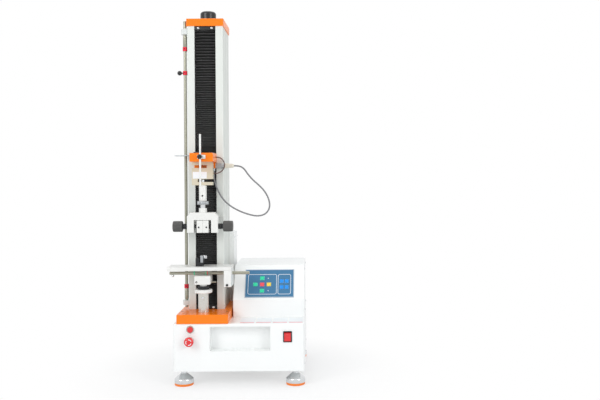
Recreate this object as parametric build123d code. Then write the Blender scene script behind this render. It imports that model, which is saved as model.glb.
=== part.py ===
from build123d import *
import math
import os

# Universal testing machine with one column, pleated bellows, an S shaped load cell,
# a screw vice grip above and a sliding peel table below.
# Sizes are in millimetres. X runs to the right, Y to the back and Z up.
# Working places are measured from the floor, midway across the chassis, under its front.

# Clearances
RUN = 0.05
PART_GAP = 0.3

# Chassis
CHASSIS_WIDTH = 406
CHASSIS_DEPTH = 425
CHASSIS_HEIGHT = 147
FLOOR_GAP = 48
SHEET = 2
CHASSIS_CORNER = 8
CHASSIS_EDGE = 4
BOTTOM_PLATE = 3
DECK = FLOOR_GAP + CHASSIS_HEIGHT

# Storage tray in the front of the chassis
TRAY_X = 4
TRAY_WIDTH = 190
TRAY_HEIGHT = 78
TRAY_DEPTH = 34
TRAY_DROP = 8
TRAY_WALL = 1.5

# Levelling feet
FOOT_INSET_X = 29
FOOT_FRONT_Y = 32
FOOT_BACK_INSET = 32
FOOT_DIAMETER = 60
PAD_HEIGHT = 7
NECK_DIAMETER = 19
BELL_SIDE = 27
BELL_TOP = 40
FOOT_GAP = 5
STUD_DIAMETER = 12
STUD_IN_CHASSIS = 30
BOSS_DIAMETER = 26
BOSS_HEIGHT = 18

# Push button, emergency stop and power rocker
BUTTON_X = 54 - CHASSIS_WIDTH / 2
BUTTON_DROP = 17
BUTTON_DIAMETER = 17
BUTTON_PROUD = 8
BUTTON_TRAVEL = 3
STOP_X = 52.5 - CHASSIS_WIDTH / 2
STOP_DROP = 52
STOP_DIAMETER = 29
STOP_PROUD = 25
STOP_HEAD = 12
STOP_STEM = 12
STOP_TRAVEL = 4
BEZEL_DIAMETER = 25
BEZEL_THICK = 3
BARREL_DIAMETER = 21.5
BARREL_DEPTH = 24
ROCKER_X = CHASSIS_WIDTH / 2 - 52
ROCKER_DROP = 41
ROCKER_FRAME_WIDTH = 27
ROCKER_FRAME_HEIGHT = 34
ROCKER_FRAME_THICK = 2.5
ROCKER_FRAME_RIM = 3
ROCKER_BODY_DEPTH = 18
ROCKER_THROW = 8

# Base plate, load axis and column
COLUMN_X = 91 - CHASSIS_WIDTH / 2
LOAD_X = COLUMN_X - 2.5
LOAD_Y = 50
BASE_PLATE_WIDTH = 160
BASE_PLATE_THICK = 28
TAPPED_SPACING = 127
TAPPED_Y = 18
TAPPED_RADIUS = 4
TAPPED_DEPTH = 20
COLUMN_WIDTH = 115
COLUMN_DEPTH = 163
COLUMN_HEIGHT = 910
COLUMN_FRONT = 100
COLUMN_WALL = 8
FRONT_RAIL_THICK = 10
SLOT_WIDTH = 68
GROOVE_WIDTH = 7
GROOVE_DEPTH = 3
GROOVE_PLACES = (26, 72, 120)
TOP_PLATE_WIDTH = 120
TOP_PLATE_OVERHANG = 2.5
TOP_PLATE_THICK = 24
CAP_DIAMETER = 52
CAP_HEIGHT = 38
CAP_ROUNDING = 9
COLUMN_FOOT = DECK + BASE_PLATE_THICK
COLUMN_TOP = COLUMN_FOOT + COLUMN_HEIGHT
COLUMN_BACK = COLUMN_FRONT + COLUMN_DEPTH

# Ball screw drive
SCREW_Y = COLUMN_FRONT + 81
SCREW_DIAMETER = 20
SCREW_DROP = 54
SCREW_INTO_PLATE = 12
BEARING_SIZE = 56
BEARING_THICK = 26
PULLEY_DROP = 20
PULLEY_RADIUS = 25
PULLEY_FLANGE = 3.5
PULLEY_FLANGE_THICK = 1.5
BELT_WIDTH = 15
BELT_THICK = 2
BELT_CENTRES = 132
MOTOR_SIZE = 60
MOTOR_LENGTH = 200
MOTOR_FLANGE = 80
MOTOR_FLANGE_THICK = 8
MOTOR_SHAFT = 14
MOTOR_Y = SCREW_Y + BELT_CENTRES

# Guide rails behind the bellows
BLOCK_WIDTH = 34
BLOCK_GAP = 2.5
RAIL_SPACING = COLUMN_WIDTH - 2 * (COLUMN_WALL + BLOCK_GAP) - BLOCK_WIDTH
RAIL_SIZE = 15
RAIL_WAIST = 2
RAIL_END_GAP = 4

# Rear housing over the motor
HOUSING_WIDTH = 144
HOUSING_DEPTH = 98
HOUSING_HEIGHT = 263

# Crosshead
ARM_X = COLUMN_X + 2.5
ARM_WIDTH = 72
ARM_FRONT = -15
ARM_BACK = 78
ARM_BOTTOM = 695
ARM_THICK = 27
NECK_WIDTH = 66
NECK_BOTTOM = 675
NECK_HEIGHT = 40
CARRIAGE_FRONT = 140
CARRIAGE_PLATE = 14
CARRIAGE_LOW = 660
CARRIAGE_HEIGHT = 66
NUT_WIDTH = 50

# Bellows
PLEAT_FRONT = 3
PLEAT_DEPTH = 17
PLEAT_CLOTH = 3
PLEAT_SIDE_GAP = 0.5
UPPER_PLEAT_COUNT = 56
LOWER_PLEAT_COUNT = 68
UPPER_SAG = 0.42
LOWER_SAG = 0.22
BELLOWS_FRAME = 10

# Load cell and its adapter
CELL_WIDTH = 65
CELL_HEIGHT = 73
CELL_THICK = 24
CELL_SLOT = 9
CELL_SLOT_LENGTH = 47
CELL_SLOT_MARGIN = 10
ADAPTER_DIAMETER = 24
ADAPTER_LENGTH = 50
ADAPTER_STUD = 15
ADAPTER_NECK = 11
LOCK_NUT_DIAMETER = 36
LOCK_NUT_THICK = 11
CROSS_PIN = 6
SOCKET_DIAMETER = 25
SOCKET_HEIGHT = 13.5

# Screw vice grip
GRIP_WIDTH = 97
GRIP_TOP_THICK = 24
GRIP_HEIGHT = 63.5
GRIP_THICK = 30
GRIP_OPENING = 54
GRIP_CHAMFER = 11
JAW_WIDTH = 18.5
JAW_HEIGHT = 38.5
JAW_THICK = 24
JAW_TRAVEL = 6
WHEEL_DIAMETER = 34
WHEEL_LENGTH = 30
WHEEL_GAP = 15.5
WHEEL_FLUTES = 24
FLUTE_DEPTH = 1.2
SPINDLE_DIAMETER = 12
COLLAR_DIAMETER = 18
SPINDLE_DROP = 44

# Front scale rod and its knob
FRONT_ROD_DIAMETER = 6
FRONT_ROD_LENGTH = 161
FRONT_ROD_LOW = 618
FRONT_ROD_X = ARM_X - 2
HOLDER_DEPTH = 12
HOLDER_WIDTH = 24
HOLDER_HEIGHT = 11
HOLDER_LOW = 704
HOLDER_LEFT = 8
KNOB_DIAMETER = 15
KNOB_LENGTH = 10
KNOB_STEM = 5

# Limit rod beside the column
ROD_BESIDE_COLUMN = 8.5
ROD_X = COLUMN_X - COLUMN_WIDTH / 2 - ROD_BESIDE_COLUMN
ROD_Y = COLUMN_FRONT + 12
ROD_DIAMETER = 10
ROD_FOOT_GAP = 5
ROD_TOP = 1151
ROD_TRAVEL = 3
BRACKET_DEPTH = 24
BRACKET_OUTER = 11
LOW_BRACKET = 236
LOW_BRACKET_HEIGHT = 15
HIGH_BRACKET = 1107
HIGH_BRACKET_HEIGHT = 18
SPRING_DIAMETER = 13
STOP_COLLAR_DIAMETER = 15
STOP_COLLAR_HEIGHT = 13
HIGH_COLLAR = 1054
STOP_COLLAR = 977
LOW_COLLAR = 289.5
BALL_DIAMETER = 15
BALL_STEM = 3
TRIP_THICK = 3
TRIP_LENGTH = 95
TRIP_EYE = 12
TRIP_REACH = 31

# Lower fixture
POST_DIAMETER = 33
POST_HEIGHT = 61
POST_PIN = 8
DISC_DIAMETER = 55
DISC_THICK = 11
FIXTURE_NUT = 36
FIXTURE_NUT_THICK = 10
SEAT_BOSS = 22
SEAT_BOSS_HEIGHT = 7
SEAT_WIDTH = 50
SEAT_DEPTH = 50
SEAT_HEIGHT = 27
SADDLE_WIDTH = 47
SADDLE_HEIGHT = 17.5
SADDLE_DEPTH = 24
SHAFT_DIAMETER = 10
SHAFT_ABOVE_SEAT = 6.5
SHAFT_LEFT = COLUMN_X - 109
SHAFT_RIGHT = COLUMN_X + 143
SHAFT_KNOB = 9
SEAT_PIN_LENGTH = 15

# Peel table
TABLE_LEFT = COLUMN_X - 110
TABLE_LENGTH = 199
TABLE_FRONT = 12
TABLE_DEPTH = 76
TABLE_THICK = 11
END_PLATE = 23
END_PLATE_HEIGHT = 51
EDGE_GROOVE = 2
EDGE_GROOVE_INSET = 5
CLAMP_GAP = 3
CLAMP_BASE_HEIGHT = 12
CLAMP_HEIGHT = 26
CLAMP_PLATE_HEIGHT = 34
CLAMP_JAW_LEFT = 12
CLAMP_JAW_RIGHT = 8
CLAMP_DEPTH = 26
CLAMP_X = LOAD_X - 9
CLAMP_KNOB_DIAMETER = 11
CLAMP_KNOB_LENGTH = 11
CLAMP_SCREW = 5

# Panel box with the membrane keypad
PANEL_WIDTH = 230
PANEL_LEFT = CHASSIS_WIDTH / 2 - 1 - PANEL_WIDTH
PANEL_FRONT = 102
PANEL_KINK = 57
PANEL_HEIGHT = 161
PANEL_RUN = 67
PANEL_BACK = 380
OVERLAY_LEFT = PANEL_LEFT + 37
OVERLAY_WIDTH = 159
OVERLAY_LOW = 7
OVERLAY_HEIGHT = 99
OVERLAY_THICK = 1.2
KEY_GAP = 0.3
KEY_LIFT = 0.5
KEY_THICK = 1.2
PAD_X = OVERLAY_LEFT + 55.3
PAD_V = 52.6
PAD_PITCH = 22
PAD_KEY = (14, 13)
MENU_X = OVERLAY_LEFT + 127.1
MENU_V = 53.5
MENU_PITCH_X = 16.3
MENU_PITCH_V = 21.3
MENU_KEY = (12.5, 12.5)

# Sensor connector, its cable and the load cell lead
SOCKET_PLATE = 3
CONNECTOR_Y = 90
CONNECTOR_Z = 683
CONNECTOR_DIAMETER = 16
PLUG_TIP = 12
PLUG_LENGTH = 30
SOCKET_RING = 10
CABLE_DIAMETER = 5
LEAD_DIAMETER = 3.5
GLAND_DIAMETER = 9
GLAND_LENGTH = 8
BOSS_RADIUS = 4
BOSS_LENGTH = 2

# Rear connectors and vents
INLET_X = CHASSIS_WIDTH / 2 - 70
INLET_Z = 90
INLET_WIDTH = 48
INLET_HEIGHT = 27
INLET_DEPTH = 20
INLET_CAVITY = (24, 16)
PORT_X = INLET_X - 70
PORT_WIDTH = 31
PORT_HEIGHT = 13
VENT_COUNT = 8
VENT_PITCH = 10
VENT_LENGTH = 60
VENT_WIDTH = 4

# Electronics
SUPPLY_SIZE = (110, 180, 44)
SUPPLY_X = CHASSIS_WIDTH / 2 - 130
BOARD_SIZE = (130, 110, 1.6)
STANDOFF = 12

nodes = {}


def save(name, *solids):
    """Keeps one node: a single solid, or several that belong together."""
    nodes[name] = solids[0] if len(solids) == 1 else Compound(list(solids))


def block(x, y, z):
    """A box between low and high along each axis."""
    middle = [(low + high) / 2 for low, high in (x, y, z)]
    size = [high - low for low, high in (x, y, z)]
    return Pos(*middle) * Box(*size)


def about(middle, width):
    """The low and high of a width about its middle."""
    return (middle - width / 2, middle + width / 2)


def upright(x, y, radius, low, high):
    return Pos(x, y, (low + high) / 2) * Cylinder(radius, high - low)


def crosswise(y, z, radius, left, right):
    return Pos((left + right) / 2, y, z) * Rot(0, 90, 0) * Cylinder(radius, right - left)


def forward(x, z, radius, front, back):
    return Pos(x, (front + back) / 2, z) * Rot(90, 0, 0) * Cylinder(radius, back - front)


def turned(profile):
    """A solid turned about Z from (radius, height) points."""
    face = Plane.XZ * Polygon(*profile, align=None)
    return revolve(face, Axis.Z)


def side_profile(points, left, width):
    """A solid with the outline of (y, z) points, from left over width."""
    face = Plane.YZ * Polygon(*points, align=None)
    return Pos(left, 0, 0) * extrude(face, width, dir=(1, 0, 0))


def rounded(shape, axis, radius):
    return fillet(shape.edges().filter_by(axis), radius)


# Chassis cover, bottom plate and tray
TRAY_TOP = DECK - TRAY_DROP
TRAY_LOW = TRAY_TOP - TRAY_HEIGHT
BUTTON_Z = DECK - BUTTON_DROP
STOP_Z = DECK - STOP_DROP
ROCKER_Z = DECK - ROCKER_DROP
ROCKER_BODY_WIDTH = ROCKER_FRAME_WIDTH - 2
ROCKER_BODY_HEIGHT = ROCKER_FRAME_HEIGHT - 2


def vent_slots(x, z, back):
    slot = Box(VENT_WIDTH, 4 * SHEET, VENT_LENGTH)
    start = x - VENT_PITCH * (VENT_COUNT - 1) / 2
    return [Pos(start + i * VENT_PITCH, back, z) * slot for i in range(VENT_COUNT)]


def chassis_cover():
    outer = block(about(0, CHASSIS_WIDTH), (0, CHASSIS_DEPTH), (FLOOR_GAP, DECK))
    outer = rounded(outer, Axis.Z, CHASSIS_CORNER)
    outer = fillet(outer.faces().sort_by(Axis.Z)[-1].edges(), CHASSIS_EDGE)
    hollow = block(
        about(0, CHASSIS_WIDTH - 2 * SHEET),
        (SHEET, CHASSIS_DEPTH - SHEET),
        (FLOOR_GAP - SHEET, DECK - SHEET),
    )
    cover = outer - rounded(hollow, Axis.Z, CHASSIS_CORNER - SHEET)
    through = (-SHEET, 2 * SHEET)
    cover -= block(about(TRAY_X, TRAY_WIDTH), through, (TRAY_LOW, TRAY_TOP))
    cover -= forward(BUTTON_X, BUTTON_Z, BARREL_DIAMETER / 2, *through)
    cover -= forward(STOP_X, STOP_Z, BARREL_DIAMETER / 2, *through)
    cover -= block(
        about(ROCKER_X, ROCKER_BODY_WIDTH), through, about(ROCKER_Z, ROCKER_BODY_HEIGHT)
    )
    cover -= upright(COLUMN_X, SCREW_Y, SCREW_DIAMETER, DECK - 2 * SHEET, DECK + SHEET)
    cover -= upright(COLUMN_X, MOTOR_Y, MOTOR_SHAFT, DECK - 2 * SHEET, DECK + SHEET)
    rear = (CHASSIS_DEPTH - 2 * SHEET, CHASSIS_DEPTH + SHEET)
    cover -= block(about(INLET_X, INLET_WIDTH - 14), rear, about(INLET_Z, INLET_HEIGHT - 4))
    cover -= block(about(PORT_X, PORT_WIDTH - 12), rear, about(INLET_Z, PORT_HEIGHT - 3))
    for slot in vent_slots(-CHASSIS_WIDTH / 5, FLOOR_GAP + CHASSIS_HEIGHT / 2, CHASSIS_DEPTH):
        cover -= slot
    return cover


FOOT_PLACES = {
    "front_left": (-CHASSIS_WIDTH / 2 + FOOT_INSET_X, FOOT_FRONT_Y),
    "front_right": (CHASSIS_WIDTH / 2 - FOOT_INSET_X, FOOT_FRONT_Y),
    "rear_left": (-CHASSIS_WIDTH / 2 + FOOT_INSET_X, CHASSIS_DEPTH - FOOT_BACK_INSET),
    "rear_right": (CHASSIS_WIDTH / 2 - FOOT_INSET_X, CHASSIS_DEPTH - FOOT_BACK_INSET),
}


def chassis_bottom():
    side = SHEET + PART_GAP
    top = FLOOR_GAP + BOTTOM_PLATE
    plate = block(
        about(0, CHASSIS_WIDTH - 2 * side), (side, CHASSIS_DEPTH - side), (FLOOR_GAP, top)
    )
    plate = rounded(plate, Axis.Z, CHASSIS_CORNER)
    for x, y in FOOT_PLACES.values():
        plate += upright(x, y, BOSS_DIAMETER / 2, FLOOR_GAP, top + BOSS_HEIGHT)
        plate -= upright(x, y, STUD_DIAMETER / 2 + RUN, FLOOR_GAP - 1, top + BOSS_HEIGHT + 1)
    slot = Box(VENT_LENGTH, VENT_WIDTH, 4 * BOTTOM_PLATE)
    for i in range(VENT_COUNT):
        plate -= Pos(0, CHASSIS_DEPTH / 3 + i * VENT_PITCH, FLOOR_GAP) * slot
    return plate


def storage_tray():
    tray = block(about(TRAY_X, TRAY_WIDTH), (0, TRAY_DEPTH), (TRAY_LOW, TRAY_TOP))
    return tray - block(
        about(TRAY_X, TRAY_WIDTH - 2 * TRAY_WALL),
        (-1, TRAY_DEPTH - TRAY_WALL),
        (TRAY_LOW + TRAY_WALL, TRAY_TOP - TRAY_WALL),
    )


def levelling_foot(x, y):
    """A polished bell on a stud, over a rubber pad."""
    rim = FOOT_DIAMETER / 2
    neck = NECK_DIAMETER / 2
    stud = STUD_DIAMETER / 2
    rise = BELL_TOP - BELL_SIDE
    top = FLOOR_GAP - FOOT_GAP
    bell = turned([
        (0, PAD_HEIGHT), (rim - 1, PAD_HEIGHT), (rim, PAD_HEIGHT + 1), (rim, BELL_SIDE),
        (rim - 0.06 * rise, BELL_SIDE + 0.3 * rise), (rim - 0.3 * rise, BELL_SIDE + 0.6 * rise),
        (rim - 0.75 * rise, BELL_SIDE + 0.85 * rise), (neck, BELL_TOP),
        (neck, top - 1), (neck - 1, top), (stud, top),
        (stud, FLOOR_GAP + STUD_IN_CHASSIS), (0, FLOOR_GAP + STUD_IN_CHASSIS),
    ])
    pad = turned([(0, 0), (rim - 2.5, 0), (rim - 0.5, 2), (rim - 0.5, PAD_HEIGHT), (0, PAD_HEIGHT)])
    return Pos(x, y, 0) * bell, Pos(x, y, 0) * pad


# Switches on the chassis front
def bezel(x, z, bore):
    ring = forward(x, z, BEZEL_DIAMETER / 2, -BEZEL_THICK, 0)
    ring += forward(x, z, BARREL_DIAMETER / 2, 0, BARREL_DEPTH)
    return ring - forward(x, z, bore / 2 + RUN, -BEZEL_THICK - 1, BARREL_DEPTH - SHEET)


def push_button():
    cap = forward(BUTTON_X, BUTTON_Z, BUTTON_DIAMETER / 2, -BUTTON_PROUD, BARREL_DEPTH / 2)
    front = cap.faces().sort_by(Axis.Y)[0]
    return fillet(front.edges(), 1.5)


def emergency_stop():
    head = STOP_DIAMETER / 2
    stem = STOP_STEM / 2
    profile = [
        (0, -BARREL_DEPTH / 2), (stem, -BARREL_DEPTH / 2), (stem, STOP_PROUD - STOP_HEAD),
        (head - 1.5, STOP_PROUD - STOP_HEAD), (head, STOP_PROUD - STOP_HEAD + 2),
        (head, STOP_PROUD - 5), (head - 2, STOP_PROUD - 2), (head - 5.5, STOP_PROUD - 0.6),
        (0, STOP_PROUD),
    ]
    return Pos(STOP_X, 0, STOP_Z) * Rot(90, 0, 0) * turned(profile)


def rocker_frame():
    frame = block(
        about(ROCKER_X, ROCKER_FRAME_WIDTH), (-ROCKER_FRAME_THICK, 0),
        about(ROCKER_Z, ROCKER_FRAME_HEIGHT),
    )
    frame = rounded(frame, Axis.Y, 1.5)
    frame += block(
        about(ROCKER_X, ROCKER_BODY_WIDTH), (0, ROCKER_BODY_DEPTH),
        about(ROCKER_Z, ROCKER_BODY_HEIGHT),
    )
    window_width = ROCKER_FRAME_WIDTH - 2 * ROCKER_FRAME_RIM
    window_height = ROCKER_FRAME_HEIGHT - 2 * ROCKER_FRAME_RIM
    return frame - block(
        about(ROCKER_X, window_width), (-ROCKER_FRAME_THICK - 1, ROCKER_BODY_DEPTH - SHEET),
        about(ROCKER_Z, window_height),
    )


ROCKER_PIVOT_Y = 5


def power_rocker():
    """The rocker, with its face in two planes, resting on one side."""
    half = ROCKER_FRAME_HEIGHT / 2 - ROCKER_FRAME_RIM - 2 * PART_GAP
    width = ROCKER_FRAME_WIDTH - 2 * ROCKER_FRAME_RIM - 2 * PART_GAP
    outline = [
        (-9.5, half - 0.8), (-6.3, 0), (-9.5, 0.8 - half), (-2, -half), (3, -5), (3, 5), (-2, half),
    ]
    rocker = side_profile(outline, -width / 2, width)
    return Pos(ROCKER_X, ROCKER_PIVOT_Y, ROCKER_Z) * Rot(ROCKER_THROW, 0, 0) * rocker


# Base plate, column and drive
def base_plate():
    plate = block(
        about(COLUMN_X, BASE_PLATE_WIDTH), (0, COLUMN_BACK), (DECK, COLUMN_FOOT)
    )
    plate = rounded(plate, Axis.Z, 3)
    plate = chamfer(plate.faces().sort_by(Axis.Z)[-1].edges(), 1)
    plate -= upright(COLUMN_X, SCREW_Y, SCREW_DIAMETER, DECK - 1, COLUMN_FOOT + 1)
    for x in about(COLUMN_X, TAPPED_SPACING):
        plate -= upright(x, TAPPED_Y, TAPPED_RADIUS, COLUMN_FOOT - TAPPED_DEPTH, COLUMN_FOOT + 1)
    return plate


def column():
    """The extrusion: a box open to the bellows in front, with grooves along its sides."""
    low, high = COLUMN_FOOT, COLUMN_TOP
    body = block(about(COLUMN_X, COLUMN_WIDTH), (COLUMN_FRONT, COLUMN_BACK), (low, high))
    body = rounded(body, Axis.Z, 3)
    cut = (low - 1, high + 1)
    body -= block(
        about(COLUMN_X, COLUMN_WIDTH - 2 * COLUMN_WALL),
        (COLUMN_FRONT + FRONT_RAIL_THICK, COLUMN_BACK - COLUMN_WALL), cut,
    )
    body -= block(
        about(COLUMN_X, SLOT_WIDTH), (COLUMN_FRONT - 1, COLUMN_FRONT + FRONT_RAIL_THICK + 1), cut
    )
    for place in GROOVE_PLACES:
        for side in about(COLUMN_X, COLUMN_WIDTH):
            body -= block(
                about(side, 2 * GROOVE_DEPTH), about(COLUMN_FRONT + place, GROOVE_WIDTH), cut
            )
    return body


def column_top_plate():
    plate = block(
        about(COLUMN_X, TOP_PLATE_WIDTH),
        (COLUMN_FRONT - TOP_PLATE_OVERHANG, COLUMN_BACK + TOP_PLATE_OVERHANG),
        (COLUMN_TOP, COLUMN_TOP + TOP_PLATE_THICK),
    )
    plate = rounded(plate, Axis.Z, 3)
    plate = chamfer(plate.faces().sort_by(Axis.Z)[-1].edges(), 1)
    return plate - upright(
        COLUMN_X, SCREW_Y, SCREW_DIAMETER / 2 + 4, COLUMN_TOP - 1, COLUMN_TOP + TOP_PLATE_THICK + 1
    )


def top_cap():
    """A round cap with a well rounded rim."""
    cap = upright(
        COLUMN_X, SCREW_Y, CAP_DIAMETER / 2,
        COLUMN_TOP + TOP_PLATE_THICK, COLUMN_TOP + TOP_PLATE_THICK + CAP_HEIGHT,
    )
    return fillet(cap.faces().sort_by(Axis.Z)[-1].edges(), CAP_ROUNDING)


RAIL_BACK = COLUMN_BACK - COLUMN_WALL
RAIL_FRONT = RAIL_BACK - RAIL_SIZE


def guide_rail(x):
    waist = RAIL_SIZE / 3
    points = [
        (-RAIL_SIZE / 2, 0), (RAIL_SIZE / 2, 0), (RAIL_SIZE / 2, waist),
        (RAIL_SIZE / 2 - RAIL_WAIST, waist + RAIL_WAIST), (RAIL_SIZE / 2, RAIL_SIZE - 2),
        (RAIL_SIZE / 2 - 1, RAIL_SIZE), (1 - RAIL_SIZE / 2, RAIL_SIZE),
        (-RAIL_SIZE / 2, RAIL_SIZE - 2), (RAIL_WAIST - RAIL_SIZE / 2, waist + RAIL_WAIST),
        (-RAIL_SIZE / 2, waist),
    ]
    outline = Polygon(*[(px, -py) for px, py in points], align=None)
    low = COLUMN_FOOT + RAIL_END_GAP
    return Pos(x, RAIL_BACK, low) * extrude(outline, COLUMN_HEIGHT - 2 * RAIL_END_GAP, dir=(0, 0, 1))


def screw_bearing(low):
    square = block(
        about(COLUMN_X, BEARING_SIZE), about(SCREW_Y, BEARING_SIZE), (low, low + BEARING_THICK)
    )
    square = rounded(square, Axis.Z, 4)
    return square - upright(
        COLUMN_X, SCREW_Y, SCREW_DIAMETER / 2 + RUN, low - 1, low + BEARING_THICK + 1
    )


PULLEY_TOP = DECK - PULLEY_DROP
PULLEY_LOW = PULLEY_TOP - BELT_WIDTH - 2 * PULLEY_FLANGE_THICK - 2 * PART_GAP


def pulley(y, bore):
    rim = PULLEY_RADIUS + PULLEY_FLANGE
    slope = PULLEY_FLANGE_THICK
    height = PULLEY_TOP - PULLEY_LOW
    wheel = turned([
        (bore, 0), (rim, 0), (rim, slope * 0.6), (PULLEY_RADIUS, slope),
        (PULLEY_RADIUS, height - slope), (rim, height - slope * 0.6), (rim, height), (bore, height),
    ])
    return Pos(COLUMN_X, y, PULLEY_LOW) * wheel


def ball_screw():
    low = DECK - SCREW_DROP
    high = COLUMN_TOP + SCREW_INTO_PLATE
    shaft = upright(COLUMN_X, SCREW_Y, SCREW_DIAMETER / 2, low, high)
    return chamfer(shaft.edges().filter_by(GeomType.CIRCLE), 1)


def motor_pulley():
    shaft = upright(
        COLUMN_X, MOTOR_Y, MOTOR_SHAFT / 2, PULLEY_LOW - 2, DECK - SHEET
    )
    return pulley(MOTOR_Y, MOTOR_SHAFT / 2) + shaft


def drive_belt():
    middle = Pos(COLUMN_X, (SCREW_Y + MOTOR_Y) / 2, PULLEY_LOW + PULLEY_FLANGE_THICK + PART_GAP)
    inside = 2 * (PULLEY_RADIUS + PART_GAP)
    loop = SlotCenterToCenter(BELT_CENTRES, inside + 2 * BELT_THICK)
    loop -= SlotCenterToCenter(BELT_CENTRES, inside)
    return middle * Rot(0, 0, 90) * extrude(loop, BELT_WIDTH)


def drive_motor():
    low = DECK
    motor = block(
        about(COLUMN_X, MOTOR_FLANGE), about(MOTOR_Y, MOTOR_FLANGE), (low, low + MOTOR_FLANGE_THICK)
    )
    motor = rounded(motor, Axis.Z, 6)
    body = block(
        about(COLUMN_X, MOTOR_SIZE), about(MOTOR_Y, MOTOR_SIZE),
        (low + MOTOR_FLANGE_THICK, low + MOTOR_FLANGE_THICK + MOTOR_LENGTH),
    )
    body = rounded(body, Axis.Z, 5)
    motor += body
    motor += upright(COLUMN_X, MOTOR_Y, MOTOR_SIZE / 2 - 4, low + MOTOR_LENGTH, low + MOTOR_LENGTH + 30)
    return motor


def rear_housing():
    outer = block(
        about(COLUMN_X, HOUSING_WIDTH), (COLUMN_BACK, COLUMN_BACK + HOUSING_DEPTH),
        (DECK, DECK + HOUSING_HEIGHT),
    )
    back_edges = outer.faces().sort_by(Axis.Y)[-1].edges()
    outer = fillet(back_edges.filter_by(Axis.Z) + back_edges.filter_by(Axis.X).sort_by(Axis.Z)[-1:], 5)
    outer -= block(
        about(COLUMN_X, HOUSING_WIDTH - 2 * SHEET),
        (COLUMN_BACK + SHEET, COLUMN_BACK + HOUSING_DEPTH - SHEET),
        (DECK - 1, DECK + HOUSING_HEIGHT - SHEET),
    )
    for slot in vent_slots(COLUMN_X, DECK + HOUSING_HEIGHT * 0.75, COLUMN_BACK + HOUSING_DEPTH):
        outer -= slot
    return outer


# Crosshead: orange arm, carriage behind the bellows, and bellows
NECK_TOP = NECK_BOTTOM + NECK_HEIGHT
ARM_TOP = ARM_BOTTOM + ARM_THICK


def crosshead_arm():
    arm = block(about(ARM_X, ARM_WIDTH), (ARM_FRONT, ARM_BACK), (ARM_BOTTOM, ARM_TOP))
    arm = rounded(arm, Axis.Z, 2)
    arm = chamfer(arm.faces().sort_by(Axis.Y)[0].edges(), 0.8)
    neck = block(about(COLUMN_X, NECK_WIDTH), (ARM_BACK, CARRIAGE_FRONT), (NECK_BOTTOM, NECK_TOP))
    return arm + neck


def carriage():
    """Nut body, plate and two bearing blocks that wrap the guide rails."""
    z = (CARRIAGE_LOW, CARRIAGE_LOW + CARRIAGE_HEIGHT)
    plate_back = RAIL_FRONT - PART_GAP
    plate_front = plate_back - CARRIAGE_PLATE
    body = block(about(COLUMN_X, NUT_WIDTH), (CARRIAGE_FRONT, plate_front), z)
    body += block(about(COLUMN_X, RAIL_SPACING + BLOCK_WIDTH), (plate_front, plate_back), z)
    for x in about(COLUMN_X, RAIL_SPACING):
        body += block(about(x, BLOCK_WIDTH), (plate_back, RAIL_BACK - RAIL_WAIST), z)
        body -= block(
            about(x, RAIL_SIZE + 2 * PART_GAP), (plate_back, RAIL_BACK), (z[0] - 1, z[1] + 1)
        )
    return body - upright(COLUMN_X, SCREW_Y, SCREW_DIAMETER / 2 + RUN, z[0] - 1, z[1] + 1)


def bellows(low, high, count, sag):
    """A pleated sheet between two end frames; its weight opens the upper pleats more."""
    front = COLUMN_FRONT + PLEAT_FRONT
    back = front + PLEAT_DEPTH
    start = low + BELLOWS_FRAME
    share = [1 + sag * (2 * i / (count - 1) - 1) for i in range(count)]
    unit = (high - low - 2 * BELLOWS_FRAME) / sum(share)
    folds = [(back, start)]
    for part in share:
        height = folds[-1][1]
        folds += [(front, height + part * unit / 2), (back, height + part * unit)]
    frame_back = back + PLEAT_CLOTH
    outline = [(front, low), (front, start)] + folds + [(front, high - BELLOWS_FRAME), (front, high)]
    outline += [(frame_back, high)]
    outline += [(y + PLEAT_CLOTH, z) for y, z in reversed(folds)]
    outline += [(frame_back, low)]
    width = SLOT_WIDTH - 2 * PLEAT_SIDE_GAP
    return side_profile(outline, COLUMN_X - width / 2, width)


# Load cell, adapter and grip
CELL_LOW = ARM_BOTTOM - CELL_HEIGHT
ADAPTER_LOW = CELL_LOW - ADAPTER_LENGTH
GRIP_TOP = ADAPTER_LOW - LOCK_NUT_THICK - ADAPTER_NECK - SOCKET_HEIGHT
GRIP_LOW = GRIP_TOP - GRIP_HEIGHT
SPINDLE_Z = GRIP_TOP - SPINDLE_DROP


def load_cell():
    """The S: a block with one slot from the left above and one from the right below."""
    cell = block(about(LOAD_X, CELL_WIDTH), about(LOAD_Y, CELL_THICK), (CELL_LOW, ARM_BOTTOM))
    cell = rounded(cell, Axis.Y, 2)
    y = about(LOAD_Y, CELL_THICK + 2)
    left, right = about(LOAD_X, CELL_WIDTH)
    high = ARM_BOTTOM - CELL_SLOT_MARGIN
    low = CELL_LOW + CELL_SLOT_MARGIN
    cell -= block((left - 1, left + CELL_SLOT_LENGTH), y, (high - CELL_SLOT, high))
    cell -= block((right - CELL_SLOT_LENGTH, right + 1), y, (low, low + CELL_SLOT))
    web = (high - CELL_SLOT + low + CELL_SLOT) / 2
    for x in about(LOAD_X, 12):
        cell -= forward(x, web, 5, *about(LOAD_Y, CELL_THICK / 2))
    return cell


def cell_adapter():
    adapter = upright(LOAD_X, LOAD_Y, ADAPTER_DIAMETER / 2, ADAPTER_LOW, CELL_LOW)
    adapter = chamfer(adapter.edges().filter_by(GeomType.CIRCLE), 1)
    adapter += upright(LOAD_X, LOAD_Y, ADAPTER_STUD / 2, GRIP_TOP + SOCKET_HEIGHT, ADAPTER_LOW)
    return adapter - forward(
        LOAD_X, ADAPTER_LOW + ADAPTER_LENGTH / 3, CROSS_PIN / 2, *about(LOAD_Y, 2 * ADAPTER_DIAMETER)
    )


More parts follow.
